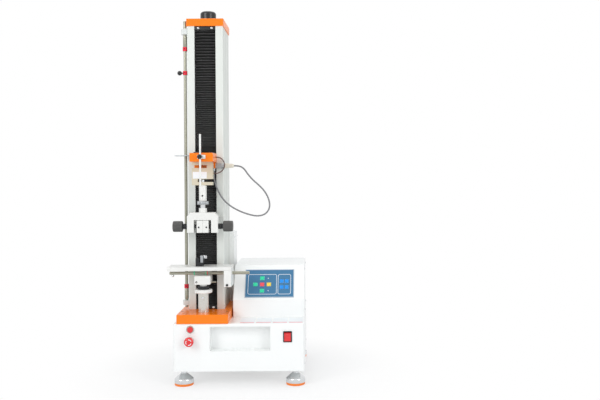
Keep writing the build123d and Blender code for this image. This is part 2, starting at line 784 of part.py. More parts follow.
def fluted(radius, length, flutes, depth):
    """A grip with fine flutes along it, on the Z axis."""
    points = []
    for i in range(2 * flutes):
        reach = radius if i % 2 == 0 else radius - depth
        angle = math.pi * i / flutes
        points.append((reach * math.cos(angle), reach * math.sin(angle)))
    return extrude(Polygon(*points, align=None), length, dir=(0, 0, 1))


def ring_nut(diameter, bore, low, thick, flutes):
    nut = Pos(LOAD_X, LOAD_Y, low) * fluted(diameter / 2, thick, flutes, FLUTE_DEPTH)
    return nut - upright(LOAD_X, LOAD_Y, bore / 2 + RUN, low - 1, low + thick + 1)


def grip_frame():
    """An upside down U with a screw bore through each leg and a socket on top."""
    frame = block(about(LOAD_X, GRIP_WIDTH), about(LOAD_Y, GRIP_THICK), (GRIP_LOW, GRIP_TOP))
    top_edges = frame.faces().sort_by(Axis.Z)[-1].edges().filter_by(Axis.Y)
    frame = chamfer(top_edges, GRIP_CHAMFER)
    frame -= block(
        about(LOAD_X, GRIP_OPENING), about(LOAD_Y, GRIP_THICK + 2),
        (GRIP_LOW - 1, GRIP_TOP - GRIP_TOP_THICK),
    )
    frame = chamfer(frame.faces().sort_by(Axis.Y)[0].edges(), 0.8)
    frame -= crosswise(
        LOAD_Y, SPINDLE_Z, SPINDLE_DIAMETER / 2 + RUN, *about(LOAD_X, GRIP_WIDTH + 2)
    )
    return frame + upright(LOAD_X, LOAD_Y, SOCKET_DIAMETER / 2, GRIP_TOP, GRIP_TOP + SOCKET_HEIGHT)


def jaw(side):
    """One jaw; side is -1 on the left and 1 on the right."""
    near = LOAD_X + side * PART_GAP / 2
    far = near + side * JAW_WIDTH
    z = (GRIP_LOW, GRIP_LOW + JAW_HEIGHT)
    body = block(sorted((near, far)), about(LOAD_Y, JAW_THICK), z)
    return rounded(body, Axis.Y, 1.5)


def hand_wheel(side):
    """A fluted hand wheel on its spindle, which passes through the leg to the jaw."""
    tip = LOAD_X + side * (PART_GAP / 2 + JAW_WIDTH)
    leg = LOAD_X + side * (GRIP_WIDTH / 2 + PART_GAP)
    inner = LOAD_X + side * (GRIP_WIDTH / 2 + WHEEL_GAP)
    outer = inner + side * WHEEL_LENGTH
    spindle = crosswise(LOAD_Y, SPINDLE_Z, SPINDLE_DIAMETER / 2, *sorted((tip, inner)))
    collar = crosswise(LOAD_Y, SPINDLE_Z, COLLAR_DIAMETER / 2, *sorted((leg, inner)))
    grip = fluted(WHEEL_DIAMETER / 2, WHEEL_LENGTH, WHEEL_FLUTES, FLUTE_DEPTH)
    grip = chamfer(grip.faces().sort_by(Axis.Z)[-1].edges(), 0.5)
    placed = Pos(inner, LOAD_Y, SPINDLE_Z) * Rot(0, 90 * side, 0) * grip
    return placed + collar + spindle


# Front rod, its holder and knob
HOLDER_FRONT = ARM_FRONT - HOLDER_DEPTH
FRONT_ROD_Y = ARM_FRONT - HOLDER_DEPTH / 2
HOLDER_MIDDLE = HOLDER_LOW + HOLDER_HEIGHT / 2
KNOB_X = FRONT_ROD_X
KNOB_GAP = 2


def rod_holder():
    left = FRONT_ROD_X - HOLDER_LEFT
    holder = block(
        (left, left + HOLDER_WIDTH), (HOLDER_FRONT, ARM_FRONT),
        (HOLDER_LOW, HOLDER_LOW + HOLDER_HEIGHT),
    )
    holder -= upright(
        FRONT_ROD_X, FRONT_ROD_Y, FRONT_ROD_DIAMETER / 2 + RUN, HOLDER_LOW - 1, ARM_TOP + 1
    )
    return holder - forward(
        KNOB_X, HOLDER_MIDDLE, KNOB_STEM / 2 + RUN, HOLDER_FRONT - 1, FRONT_ROD_Y
    )


def rod_knob():
    stem_end = FRONT_ROD_Y - FRONT_ROD_DIAMETER / 2 - PART_GAP
    back = HOLDER_FRONT - KNOB_GAP
    knob = forward(KNOB_X, HOLDER_MIDDLE, KNOB_DIAMETER / 2, back - KNOB_LENGTH, back)
    knob = fillet(knob.faces().sort_by(Axis.Y)[0].edges(), 3)
    return knob + forward(KNOB_X, HOLDER_MIDDLE, KNOB_STEM / 2, back, stem_end)


def front_rod():
    rod = upright(
        FRONT_ROD_X, FRONT_ROD_Y, FRONT_ROD_DIAMETER / 2,
        FRONT_ROD_LOW, FRONT_ROD_LOW + FRONT_ROD_LENGTH,
    )
    return chamfer(rod.edges().filter_by(GeomType.CIRCLE), 0.5)


# Limit rod, its brackets, collars and the trip plate
def rod_bracket(low, height):
    right = COLUMN_X - COLUMN_WIDTH / 2
    body = block((ROD_X - BRACKET_OUTER, right), about(ROD_Y, BRACKET_DEPTH), (low, low + height))
    body = fillet(body.edges().filter_by(Axis.Z).sort_by(Axis.X)[:2], 6)
    return body - upright(ROD_X, ROD_Y, ROD_DIAMETER / 2 + RUN, low - 1, low + height + 1)


def collar(low):
    ring = upright(ROD_X, ROD_Y, STOP_COLLAR_DIAMETER / 2, low, low + STOP_COLLAR_HEIGHT)
    ring = chamfer(ring.edges().filter_by(GeomType.CIRCLE), 0.8)
    return ring - upright(
        ROD_X, ROD_Y, ROD_DIAMETER / 2 + RUN, low - 1, low + STOP_COLLAR_HEIGHT + 1
    )


def limit_rod():
    rod = upright(ROD_X, ROD_Y, ROD_DIAMETER / 2, COLUMN_FOOT + ROD_FOOT_GAP, ROD_TOP)
    return chamfer(rod.edges().filter_by(GeomType.CIRCLE), 1)


def spring_sleeve(low, high):
    sleeve = upright(ROD_X, ROD_Y, SPRING_DIAMETER / 2, low, high)
    return sleeve - upright(ROD_X, ROD_Y, ROD_DIAMETER / 2 + RUN, low - 1, high + 1)


def stop_ball():
    """The ball knob of the stop collar, on its short screw."""
    z = STOP_COLLAR + STOP_COLLAR_HEIGHT / 2
    face = ROD_X - STOP_COLLAR_DIAMETER / 2
    centre = face - BALL_STEM - BALL_DIAMETER / 2
    ball = Pos(centre, ROD_Y, z) * Sphere(BALL_DIAMETER / 2)
    return ball + crosswise(ROD_Y, z, 2, centre, face)


def trip_plate():
    """A thin plate from the neck to an eye round the limit rod."""
    low = NECK_TOP
    right = COLUMN_X
    back = COLUMN_FRONT - 2
    eye_left = ROD_X - TRIP_REACH
    past = COLUMN_X - COLUMN_WIDTH / 2 - 2
    outline = Polygon(
        (right, ARM_BACK), (right, back), (past, back), (past, ROD_Y + TRIP_EYE),
        (eye_left, ROD_Y + TRIP_EYE), (eye_left, ARM_BACK + 6), (past, ARM_BACK), align=None,
    )
    plate = Pos(0, 0, low) * extrude(outline, TRIP_THICK, dir=(0, 0, 1))
    return plate - upright(ROD_X, ROD_Y, ROD_DIAMETER / 2 + 1, low - 1, low + TRIP_THICK + 1)


# Lower fixture and peel table
DISC_LOW = COLUMN_FOOT + POST_HEIGHT
NUT_LOW = DISC_LOW + DISC_THICK
SEAT_LOW = NUT_LOW + FIXTURE_NUT_THICK + SEAT_BOSS_HEIGHT
SADDLE_LOW = SEAT_LOW + SEAT_HEIGHT
SHAFT_Z = SADDLE_LOW + SHAFT_ABOVE_SEAT
TABLE_LOW = SADDLE_LOW + SADDLE_HEIGHT + PART_GAP
TABLE_TOP = TABLE_LOW + TABLE_THICK


def fixture_post():
    post = upright(LOAD_X, LOAD_Y, POST_DIAMETER / 2, COLUMN_FOOT, DISC_LOW)
    post = chamfer(post.edges().filter_by(GeomType.CIRCLE), 1)
    post += upright(
        LOAD_X, LOAD_Y, ADAPTER_STUD / 2, DISC_LOW, SEAT_LOW - SEAT_BOSS_HEIGHT
    )
    pin_z = DISC_LOW - POST_HEIGHT / 4
    return post - forward(LOAD_X, pin_z, POST_PIN / 2, *about(LOAD_Y, POST_DIAMETER + 2))


def fixture_pin():
    pin_z = DISC_LOW - POST_HEIGHT / 4
    return forward(LOAD_X, pin_z, POST_PIN / 2 - RUN, *about(LOAD_Y, POST_DIAMETER + 2))


def fixture_disc():
    disc = upright(LOAD_X, LOAD_Y, DISC_DIAMETER / 2, DISC_LOW, NUT_LOW)
    disc = chamfer(disc.edges().filter_by(GeomType.CIRCLE), 1.5)
    return disc - upright(LOAD_X, LOAD_Y, ADAPTER_STUD / 2 + RUN, DISC_LOW - 1, NUT_LOW + 1)


def fixture_block():
    """The seat on the post, and the saddle with a half open groove for the guide shaft."""
    seat = block(
        about(LOAD_X, SEAT_WIDTH), about(LOAD_Y, SEAT_DEPTH), (SEAT_LOW, SADDLE_LOW)
    )
    seat = rounded(seat, Axis.Y, 2)
    seat += block(
        about(LOAD_X, SADDLE_WIDTH), (LOAD_Y, LOAD_Y + SADDLE_DEPTH),
        (SADDLE_LOW, SADDLE_LOW + SADDLE_HEIGHT),
    )
    seat += upright(LOAD_X, LOAD_Y, SEAT_BOSS / 2, SEAT_LOW - SEAT_BOSS_HEIGHT, SEAT_LOW)
    right = LOAD_X + SEAT_WIDTH / 2
    seat += crosswise(LOAD_Y, SEAT_LOW + 5, 2.5, right - 5, right + SEAT_PIN_LENGTH)
    return seat - crosswise(
        LOAD_Y, SHAFT_Z, SHAFT_DIAMETER / 2 + RUN, *about(LOAD_X, SEAT_WIDTH + 2)
    )


def guide_shaft():
    shaft = crosswise(LOAD_Y, SHAFT_Z, SHAFT_DIAMETER / 2, SHAFT_LEFT, SHAFT_RIGHT)
    shaft = chamfer(shaft.edges().filter_by(GeomType.CIRCLE), 1)
    knob_z = SHAFT_Z - SHAFT_DIAMETER / 2 - SHAFT_KNOB / 3
    return shaft + Pos(SHAFT_LEFT + SHAFT_DIAMETER, LOAD_Y, knob_z) * Sphere(SHAFT_KNOB / 2)


TABLE_RIGHT = TABLE_LEFT + TABLE_LENGTH


def peel_table():
    y = (TABLE_FRONT, TABLE_FRONT + TABLE_DEPTH)
    table = block((TABLE_LEFT, TABLE_RIGHT), y, (TABLE_LOW, TABLE_TOP))
    for edge in (y[0] + EDGE_GROOVE_INSET, y[1] - EDGE_GROOVE_INSET):
        table -= block(
            (TABLE_LEFT - 1, TABLE_RIGHT + 1), about(edge, EDGE_GROOVE), (TABLE_TOP - 1, TABLE_TOP + 1)
        )
    end = block(
        (TABLE_RIGHT - END_PLATE, TABLE_RIGHT), y, (TABLE_LOW - END_PLATE_HEIGHT, TABLE_LOW)
    )
    end = rounded(end, Axis.X, 3)
    table += end
    table += block((TABLE_RIGHT - END_PLATE, TABLE_RIGHT), y, (TABLE_LOW - 4, TABLE_LOW))
    return table - crosswise(
        LOAD_Y, SHAFT_Z, SHAFT_DIAMETER / 2 + RUN, TABLE_RIGHT - END_PLATE - 1, TABLE_RIGHT + 1
    )


CLAMP_SCREW_Z = TABLE_TOP + CLAMP_PLATE_HEIGHT - 6


def specimen_clamp():
    """A low jaw and a taller plate on one foot, drawn together by a side screw."""
    left = CLAMP_X - CLAMP_GAP / 2 - CLAMP_JAW_LEFT
    right = CLAMP_X + CLAMP_GAP / 2 + CLAMP_JAW_RIGHT
    y = about(LOAD_Y, CLAMP_DEPTH)
    clamp = block((left, right), y, (TABLE_TOP, TABLE_TOP + CLAMP_PLATE_HEIGHT))
    clamp -= block(
        (left - 1, CLAMP_X - CLAMP_GAP / 2), about(LOAD_Y, CLAMP_DEPTH + 2),
        (TABLE_TOP + CLAMP_HEIGHT, TABLE_TOP + CLAMP_PLATE_HEIGHT + 1),
    )
    clamp -= block(
        about(CLAMP_X, CLAMP_GAP), about(LOAD_Y, CLAMP_DEPTH + 2),
        (TABLE_TOP + CLAMP_BASE_HEIGHT, TABLE_TOP + CLAMP_PLATE_HEIGHT + 1),
    )
    clamp = rounded(clamp, Axis.Y, 1)
    return clamp - crosswise(
        LOAD_Y, CLAMP_SCREW_Z, CLAMP_SCREW / 2 + RUN, CLAMP_X, right + 1
    )


def clamp_knob():
    right = CLAMP_X + CLAMP_GAP / 2 + CLAMP_JAW_RIGHT
    start = right + PART_GAP
    knob = crosswise(
        LOAD_Y, CLAMP_SCREW_Z, CLAMP_KNOB_DIAMETER / 2, start, start + CLAMP_KNOB_LENGTH
    )
    knob = chamfer(knob.edges().filter_by(GeomType.CIRCLE), 1)
    return knob + crosswise(
        LOAD_Y, CLAMP_SCREW_Z, CLAMP_SCREW / 2, CLAMP_X + CLAMP_GAP / 2, start + 1
    )


# Panel box and keypad
PANEL_KINK_Z = DECK + PANEL_KINK
PANEL_TOP = DECK + PANEL_HEIGHT
SLOPE_RISE = PANEL_TOP - PANEL_KINK_Z
SLOPE_LENGTH = math.hypot(PANEL_RUN, SLOPE_RISE)
SLOPE = Plane(
    origin=(0, PANEL_FRONT, PANEL_KINK_Z),
    x_dir=(1, 0, 0),
    z_dir=(0, -SLOPE_RISE / SLOPE_LENGTH, PANEL_RUN / SLOPE_LENGTH),
)


def panel_box():
    outline = [
        (PANEL_FRONT, DECK), (PANEL_FRONT, PANEL_KINK_Z), (PANEL_FRONT + PANEL_RUN, PANEL_TOP),
        (PANEL_BACK, PANEL_TOP), (PANEL_BACK, DECK),
    ]
    box = side_profile(outline, PANEL_LEFT, PANEL_WIDTH)
    ends = box.faces().filter_by(Axis.X).edges()
    box = fillet(ends.filter_by(lambda edge: edge.center().Z > DECK + 1), 3)
    lean = SLOPE_RISE / SLOPE_LENGTH
    shift = SHEET / lean
    drop = SHEET * (1 - PANEL_RUN / SLOPE_LENGTH) / lean
    hollow = [
        (PANEL_FRONT + SHEET, DECK - 1), (PANEL_FRONT + SHEET, PANEL_KINK_Z - drop),
        (PANEL_FRONT + PANEL_RUN + shift - SHEET * PANEL_RUN / SLOPE_RISE, PANEL_TOP - SHEET),
        (PANEL_BACK - SHEET, PANEL_TOP - SHEET), (PANEL_BACK - SHEET, DECK - 1),
    ]
    return box - side_profile(hollow, PANEL_LEFT + SHEET, PANEL_WIDTH - 2 * SHEET)


def on_slope(x, v, width, height, low, thick):
    """A small plate lying on the slope, low above it."""
    return SLOPE * Pos(x, v, low + thick / 2) * Box(width, height, thick)


KEYS = {
    "key_up": (PAD_X, PAD_V + PAD_PITCH, PAD_KEY),
    "key_left": (PAD_X - PAD_PITCH, PAD_V, PAD_KEY),
    "key_stop": (PAD_X, PAD_V, PAD_KEY),
    "key_right": (PAD_X + PAD_PITCH, PAD_V, PAD_KEY),
    "key_down": (PAD_X, PAD_V - PAD_PITCH, PAD_KEY),
    "menu_key_1": (MENU_X - MENU_PITCH_X / 2, MENU_V + MENU_PITCH_V / 2, MENU_KEY),
    "menu_key_2": (MENU_X + MENU_PITCH_X / 2, MENU_V + MENU_PITCH_V / 2, MENU_KEY),
    "menu_key_3": (MENU_X - MENU_PITCH_X / 2, MENU_V - MENU_PITCH_V / 2, MENU_KEY),
    "menu_key_4": (MENU_X + MENU_PITCH_X / 2, MENU_V - MENU_PITCH_V / 2, MENU_KEY),
}


def keypad_overlay():
    sheet = on_slope(
        OVERLAY_LEFT + OVERLAY_WIDTH / 2, OVERLAY_LOW + OVERLAY_HEIGHT / 2,
        OVERLAY_WIDTH, OVERLAY_HEIGHT, 0, OVERLAY_THICK,
    )
    for x, v, (width, height) in KEYS.values():
        window = (width + 2 * KEY_GAP, height + 2 * KEY_GAP)
        sheet -= on_slope(x, v, *window, -1, OVERLAY_THICK + 2)
    return sheet


# Sensor connector and cables
PLUG_START = COLUMN_X + COLUMN_WIDTH / 2 + SOCKET_RING / 2


def sensor_socket():
    """A bracket beside the neck with a round socket facing right."""
    left = COLUMN_X + NECK_WIDTH / 2
    plate = block(
        (left, PLUG_START - SOCKET_RING), (CONNECTOR_Y - 1, CONNECTOR_Y - 1 + SOCKET_PLATE),
        about(CONNECTOR_Z, CONNECTOR_DIAMETER),
    )
    return plate + crosswise(
        CONNECTOR_Y, CONNECTOR_Z, CONNECTOR_DIAMETER / 2, PLUG_START - SOCKET_RING, PLUG_START
    )


def sensor_plug():
    radius = CONNECTOR_DIAMETER / 2
    tip = PLUG_TIP / 2
    body = turned([
        (0, 0), (radius, 0), (radius, PLUG_LENGTH * 0.45), (tip, PLUG_LENGTH * 0.6),
        (tip - 0.8, PLUG_LENGTH), (0, PLUG_LENGTH),
    ])
    return Pos(PLUG_START, CONNECTOR_Y, CONNECTOR_Z) * Rot(0, 90, 0) * body


def cord(points, diameter):
    """A tube along straight runs joined by large tangent arcs."""
    vectors = [Vector(*point) for point in points]
    radii = []
    for before, corner, after in zip(vectors, vectors[1:], vectors[2:]):
        run = min((corner - before).length, (after - corner).length)
        turn = math.radians((corner - before).get_angle(after - corner))
        radii.append(0.45 * run / math.tan(turn / 2))
    path = FilletPolyline(*vectors, radius=radii)
    start = Plane(origin=path @ 0, z_dir=path % 0)
    tube = sweep(start * Circle(diameter / 2), path=path)
    share = tube.volume / (math.pi * diameter ** 2 / 4 * path.length)
    print("cord length", round(path.length, 1), "smallest radius", round(min(radii), 1),
          "volume share", round(share, 4))
    print("radii", [round(radius, 1) for radius in radii])
    return tube


NECK_RIGHT = COLUMN_X + NECK_WIDTH / 2
GLAND_X = NECK_RIGHT - GLAND_DIAMETER / 2 - 1
GLAND_Y = 88
PLUG_END = PLUG_START + PLUG_LENGTH
CABLE_POINTS = [
    (PLUG_END, CONNECTOR_Y, CONNECTOR_Z),
    (PLUG_END + 16.5, CONNECTOR_Y, CONNECTOR_Z),
    (12, 90, 674),
    (23, 90, 657),
    (40, 90, 637),
    (60, 89, 620),
    (78, 89, 601),
    (92, 88, 574),
    (94, 88, 547),
    (80, 87, 527),
    (54, 87, 521),
    (26, 87, 527),
    (-4, 87, 538),
    (-34, 87, 555),
    (-58, 88, 578),
    (-74, 88, 607),
    (GLAND_X, GLAND_Y, NECK_BOTTOM - GLAND_LENGTH - 27),
    (GLAND_X, GLAND_Y, NECK_BOTTOM - GLAND_LENGTH),
]
CELL_RIGHT = LOAD_X + CELL_WIDTH / 2
ARM_RIGHT = ARM_X + ARM_WIDTH / 2
CELL_MIDDLE = CELL_LOW + CELL_HEIGHT / 2
LEAD_POINTS = [
    (CELL_RIGHT + BOSS_LENGTH, LOAD_Y, CELL_MIDDLE),
    (CELL_RIGHT + BOSS_LENGTH + 13.5, LOAD_Y, CELL_MIDDLE),
    (-52, LOAD_Y, 667),
    (-44, LOAD_Y, 683),
    (-49, LOAD_Y, 700),
    (ARM_RIGHT + 12, LOAD_Y, 710),
    (ARM_RIGHT, LOAD_Y, 710),
]


def cable_gland():
    return upright(
        GLAND_X, GLAND_Y, GLAND_DIAMETER / 2, NECK_BOTTOM - GLAND_LENGTH, NECK_BOTTOM
    )


def lead_boss():
    return crosswise(LOAD_Y, CELL_MIDDLE, BOSS_RADIUS, CELL_RIGHT, CELL_RIGHT + BOSS_LENGTH)


# Rear connectors and electronics
def mains_inlet():
    back = CHASSIS_DEPTH
    inlet = block(about(INLET_X, INLET_WIDTH), (back, back + 3), about(INLET_Z, INLET_HEIGHT))
    inlet += block(
        about(INLET_X, INLET_WIDTH - 14), (back - INLET_DEPTH, back), about(INLET_Z, INLET_HEIGHT - 4)
    )
    width, height = INLET_CAVITY
    inlet -= block(about(INLET_X, width), (back - INLET_DEPTH + 3, back + 4), about(INLET_Z, height))
    for x, z in ((0, 2.5), (-7, -2), (7, -2)):
        inlet += block(
            about(INLET_X + x, 2), (back - INLET_DEPTH + 2, back - 8), about(INLET_Z + z, 4)
        )
    return inlet


def data_port():
    back = CHASSIS_DEPTH
    port = block(about(PORT_X, PORT_WIDTH), (back, back + 1), about(INLET_Z, PORT_HEIGHT))
    shell = block(
        about(PORT_X, PORT_WIDTH - 13), (back - 8, back + 6), about(INLET_Z, PORT_HEIGHT - 4)
    )
    return port + rounded(shell, Axis.Y, 2)


def power_supply():
    width, depth, height = SUPPLY_SIZE
    low = FLOOR_GAP + BOTTOM_PLATE
    return block(about(SUPPLY_X, width), about(CHASSIS_DEPTH * 0.6, depth), (low, low + height))


def control_board():
    width, depth, thick = BOARD_SIZE
    x = PANEL_LEFT + PANEL_WIDTH / 2
    y = (PANEL_FRONT + PANEL_RUN + PANEL_BACK) / 2
    low = DECK + STANDOFF
    board = block(about(x, width), about(y, depth), (low, low + thick))
    for px in about(x, width - 12):
        for py in about(y, depth - 12):
            board += upright(px, py, 3, DECK, low)
    return board


def build_nodes():
    save("chassis_cover", chassis_cover())
    save("chassis_bottom", chassis_bottom())
    save("storage_tray", storage_tray())
    save("base_plate", base_plate())
    save("column", column())
    save("column_top_plate", column_top_plate())
    save("top_cap", top_cap())
    save("guide_rails", *[guide_rail(x) for x in about(COLUMN_X, RAIL_SPACING)])
    save("screw_bearings", screw_bearing(COLUMN_FOOT), screw_bearing(COLUMN_TOP - BEARING_THICK))
    save("rear_housing", rear_housing())
    save("drive_motor", drive_motor())
    save("drive_belt", drive_belt())
    save("electronics", power_supply(), control_board())
    save("panel_box", panel_box())
    save("keypad_overlay", keypad_overlay())
    save("switch_bodies", bezel(BUTTON_X, BUTTON_Z, BUTTON_DIAMETER),
         bezel(STOP_X, STOP_Z, STOP_STEM), rocker_frame())
    save("rod_brackets", rod_bracket(LOW_BRACKET, LOW_BRACKET_HEIGHT),
         rod_bracket(HIGH_BRACKET, HIGH_BRACKET_HEIGHT))
    save("upper_bellows", bellows(NECK_TOP + PART_GAP, COLUMN_TOP, UPPER_PLEAT_COUNT, UPPER_SAG))
    save("lower_bellows", bellows(COLUMN_FOOT, NECK_BOTTOM - PART_GAP, LOWER_PLEAT_COUNT, LOWER_SAG))
    save("fixture_post", fixture_post(), fixture_pin(), fixture_disc(),
         ring_nut(FIXTURE_NUT, ADAPTER_STUD, NUT_LOW, FIXTURE_NUT_THICK, 12))
    save("fixture_block", fixture_block(), guide_shaft())
    save("rear_connectors", mains_inlet(), data_port())
    save("crosshead_arm", crosshead_arm())
    save("carriage", carriage())
    save("load_cell", load_cell() + lead_boss())
    save("cell_adapter", cell_adapter(),
         ring_nut(LOCK_NUT_DIAMETER, ADAPTER_STUD, ADAPTER_LOW - LOCK_NUT_THICK, LOCK_NUT_THICK, 24))
    save("grip_frame", grip_frame())
    save("crosshead_brackets", rod_holder(), trip_plate(), sensor_socket(), cable_gland())
    save("sensor_plug", sensor_plug())
    save("sensor_cable", cord(CABLE_POINTS, CABLE_DIAMETER))
    save("cell_lead", cord(LEAD_POINTS, LEAD_DIAMETER))
    save("ball_screw", ball_screw(), pulley(SCREW_Y, SCREW_DIAMETER / 2 + RUN))
    save("motor_pulley", motor_pulley())
    save("left_jaw", jaw(-1))
    save("right_jaw", jaw(1))
    save("left_hand_wheel", hand_wheel(-1))
    save("right_hand_wheel", hand_wheel(1))
    save("front_rod", front_rod())
    save("rod_knob", rod_knob())
    save("limit_rod", limit_rod(),
         spring_sleeve(LOW_BRACKET + LOW_BRACKET_HEIGHT + ROD_TRAVEL + 1, LOW_COLLAR),
         spring_sleeve(HIGH_COLLAR + STOP_COLLAR_HEIGHT, HIGH_BRACKET - ROD_TRAVEL - 1))
    save("rod_collars", collar(LOW_COLLAR), collar(HIGH_COLLAR))
    save("stop_collar", collar(STOP_COLLAR), stop_ball())
    save("emergency_stop", emergency_stop())
    save("push_button", push_button())
    save("power_rocker", power_rocker())
    save("peel_table", peel_table(), specimen_clamp())
    save("clamp_knob", clamp_knob())
    for place, (x, y) in FOOT_PLACES.items():
        save("foot_" + place, *levelling_foot(x, y))
    for name, (x, v, (width, height)) in KEYS.items():
        save(name, on_slope(x, v, width, height, KEY_LIFT, KEY_THICK))


CORD_NODES = ("sensor_cable", "cell_lead", "sensor_plug")


def frame_origin():
    """The middle of the machine's underside, measured without the cords."""
    hard = Compound([shape for name, shape in nodes.items() if name not in CORD_NODES])
    extent = hard.bounding_box()
    return Vector(extent.center().X, extent.center().Y, extent.min.Z)


def main():
    os.makedirs("parts", exist_ok=True)
    build_nodes()
    origin = frame_origin()
    print("origin", [round(value, 3) for value in origin])
    for name, shape in nodes.items():
        export_step(Pos(-origin.X, -origin.Y, -origin.Z) * shape, "parts/" + name + ".step")


main()
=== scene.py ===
# %% [markdown]
# # A single-column testing machine
# The real machine is a white sheet-metal chassis on four levelling feet, an aluminium column
# with pleated bellows, an orange crosshead that carries a load cell and a vice grip, and a
# keypad box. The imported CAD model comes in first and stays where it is. Each later cell gives
# a piece its finish, or puts a finer surface in the place of a plain solid.

# %% Load the frame
from itertools import product

import bmesh
import bpy
import numpy as np
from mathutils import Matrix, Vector


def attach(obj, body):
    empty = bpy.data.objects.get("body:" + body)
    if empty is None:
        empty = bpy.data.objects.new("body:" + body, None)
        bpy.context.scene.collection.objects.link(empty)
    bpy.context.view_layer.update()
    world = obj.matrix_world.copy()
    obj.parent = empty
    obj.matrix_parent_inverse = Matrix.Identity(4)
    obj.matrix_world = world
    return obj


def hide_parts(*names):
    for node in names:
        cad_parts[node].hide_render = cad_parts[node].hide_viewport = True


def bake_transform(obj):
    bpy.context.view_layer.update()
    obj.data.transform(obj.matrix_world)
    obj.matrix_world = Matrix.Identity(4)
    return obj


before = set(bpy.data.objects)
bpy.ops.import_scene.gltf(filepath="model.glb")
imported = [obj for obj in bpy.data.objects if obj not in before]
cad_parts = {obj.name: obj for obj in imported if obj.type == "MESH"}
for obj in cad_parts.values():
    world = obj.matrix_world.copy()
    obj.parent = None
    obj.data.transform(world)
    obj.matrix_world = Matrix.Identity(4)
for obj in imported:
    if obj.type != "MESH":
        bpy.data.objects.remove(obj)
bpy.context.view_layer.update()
scene = bpy.context.scene
scene.view_settings.view_transform = "Standard"

# %% [markdown]
# ## Places and colours
# Sizes in this script are millimetres measured on the chassis, as a fitter would take them: X
# to the right from its middle, Y to the back from its front, Z up from the bench. One function
# turns them into the frame's metres, so no other line has to. Colours are written as on a web
# page and turned to linear light by another.

# %% Places and colours
ORIGIN = np.array([-9.0, 196.0, 0.0])  # the frame's origin, in millimetres on the chassis


def metres(points):
    """Point in the frame = (point on the chassis - origin) / 1000."""
    return (np.asarray(points, float) - ORIGIN) / 1000


def linear(code):
    """The sRGB curve undone: a straight piece near black, and a power of 2.4 above it."""
    value = np.array([int(code[i:i + 2], 16) / 255 for i in (1, 3, 5)])
    curve = np.where(value > 0.04045, ((value + 0.055) / 1.055) ** 2.4, value / 12.92)
    return (*curve, 1.0)


# %% [markdown]
# ## Camera
# The photograph was taken level and square to the machine from 2.5 m away, with a short
# telephoto lens. Its middle lies left of the lens axis and below it. Turning the camera there
# would make the column lean, so the lens is shifted instead.

# %% Camera
camera_data = bpy.data.cameras.new("camera")
camera_data.lens = 45.13
camera_data.sensor_width = 36
camera_data.shift_x = -0.0254
camera_data.shift_y = -0.0403
camera_data.clip_end = 50
camera = bpy.data.objects.new("camera", camera_data)
scene.collection.objects.link(camera)
camera.location = (0.2487, -2.514, 0.649)
camera.rotation_euler = (np.pi / 2, np.radians(0.4), 0)
scene.camera = camera
print("camera lens", camera_data.lens, "mm")

# %% [markdown]
# ## Surfaces from grids
# Most pieces of such a machine are turned on a lathe or milled from bar. They could be modelled
# from primitives with bevels. Grids of points are used here, because then each shape's real
# sizes stand in one short profile. Neighbours in a grid, rows by columns, are joined by quads.
# A turned piece is a profile of radius and height carried round an axis. A block is a rounded
# rectangle carried up through a few insets, so that its edges are round.

# %% Grids, turned pieces and blocks
# Each axis is named for where a piece's own z goes. Rows: its x, y and z. The keypad box's
# front has its own directions.
SLOPE_UP = np.array([0, 0.5416, 0.8407])
SLOPE_OUT = np.array([0, -0.8407, 0.5416])
SLOPE_FOOT = np.array([0.0, 102.0, 252.0])
AXES = {
    "z": np.eye(3),
    "x": np.array([[0, 1, 0], [0, 0, 1], [1, 0, 0]]),
    "-x": np.array([[0, -1, 0], [0, 0, 1], [-1, 0, 0]]),
    "y": np.array([[0, 0, 1], [1, 0, 0], [0, 1, 0]]),
    "-y": np.array([[1, 0, 0], [0, 0, 1], [0, -1, 0]]),
    "slope": np.array([[1, 0, 0], SLOPE_UP, SLOPE_OUT]),
}
CORNER_POINTS = 5
LEAST_RADIUS = 0.2
EDGE_STEPS = 3


def grid_faces(rows, columns, start=0):
    """Quads between neighbouring points of a grid that closes on itself along its columns."""
    row, column = np.meshgrid(np.arange(rows - 1), np.arange(columns), indexing="ij")
    after = (column + 1) % columns
    corners = [row * columns + column, row * columns + after,
               (row + 1) * columns + after, (row + 1) * columns + column]
    return (np.stack(corners, -1).reshape(-1, 4) + start).tolist()


def turned(profile, centre, axis="z", sides=48, ribs=0, depth=0.0, grip=(0, 0), hexagon=()):
    """Point = centre + radius(angle) round the axis, at the profile's height along it.
    Between the two grip heights the radius goes in and out by depth, ribs times a turn.
    Rows named in hexagon follow a six-sided outline with that radius at its corners."""
    profile = np.asarray(profile, float)
    angle = np.linspace(0, 2 * np.pi, sides, endpoint=False)
    radius = np.repeat(profile[:, :1], sides, 1)
    held = (profile[:, 1] >= grip[0]) & (profile[:, 1] <= grip[1])
    radius -= np.outer(held & (ribs > 0), depth * (0.5 + 0.5 * np.cos(ribs * angle)))
    six = np.cos(np.pi / 6) / np.cos(angle % (np.pi / 3) - np.pi / 6)
    for row in hexagon:
        radius[row] *= six
    local = np.stack([radius * np.cos(angle), radius * np.sin(angle),
                      np.repeat(profile[:, 1:2], sides, 1)], -1)
    return np.asarray(centre, float) + local @ AXES[axis]


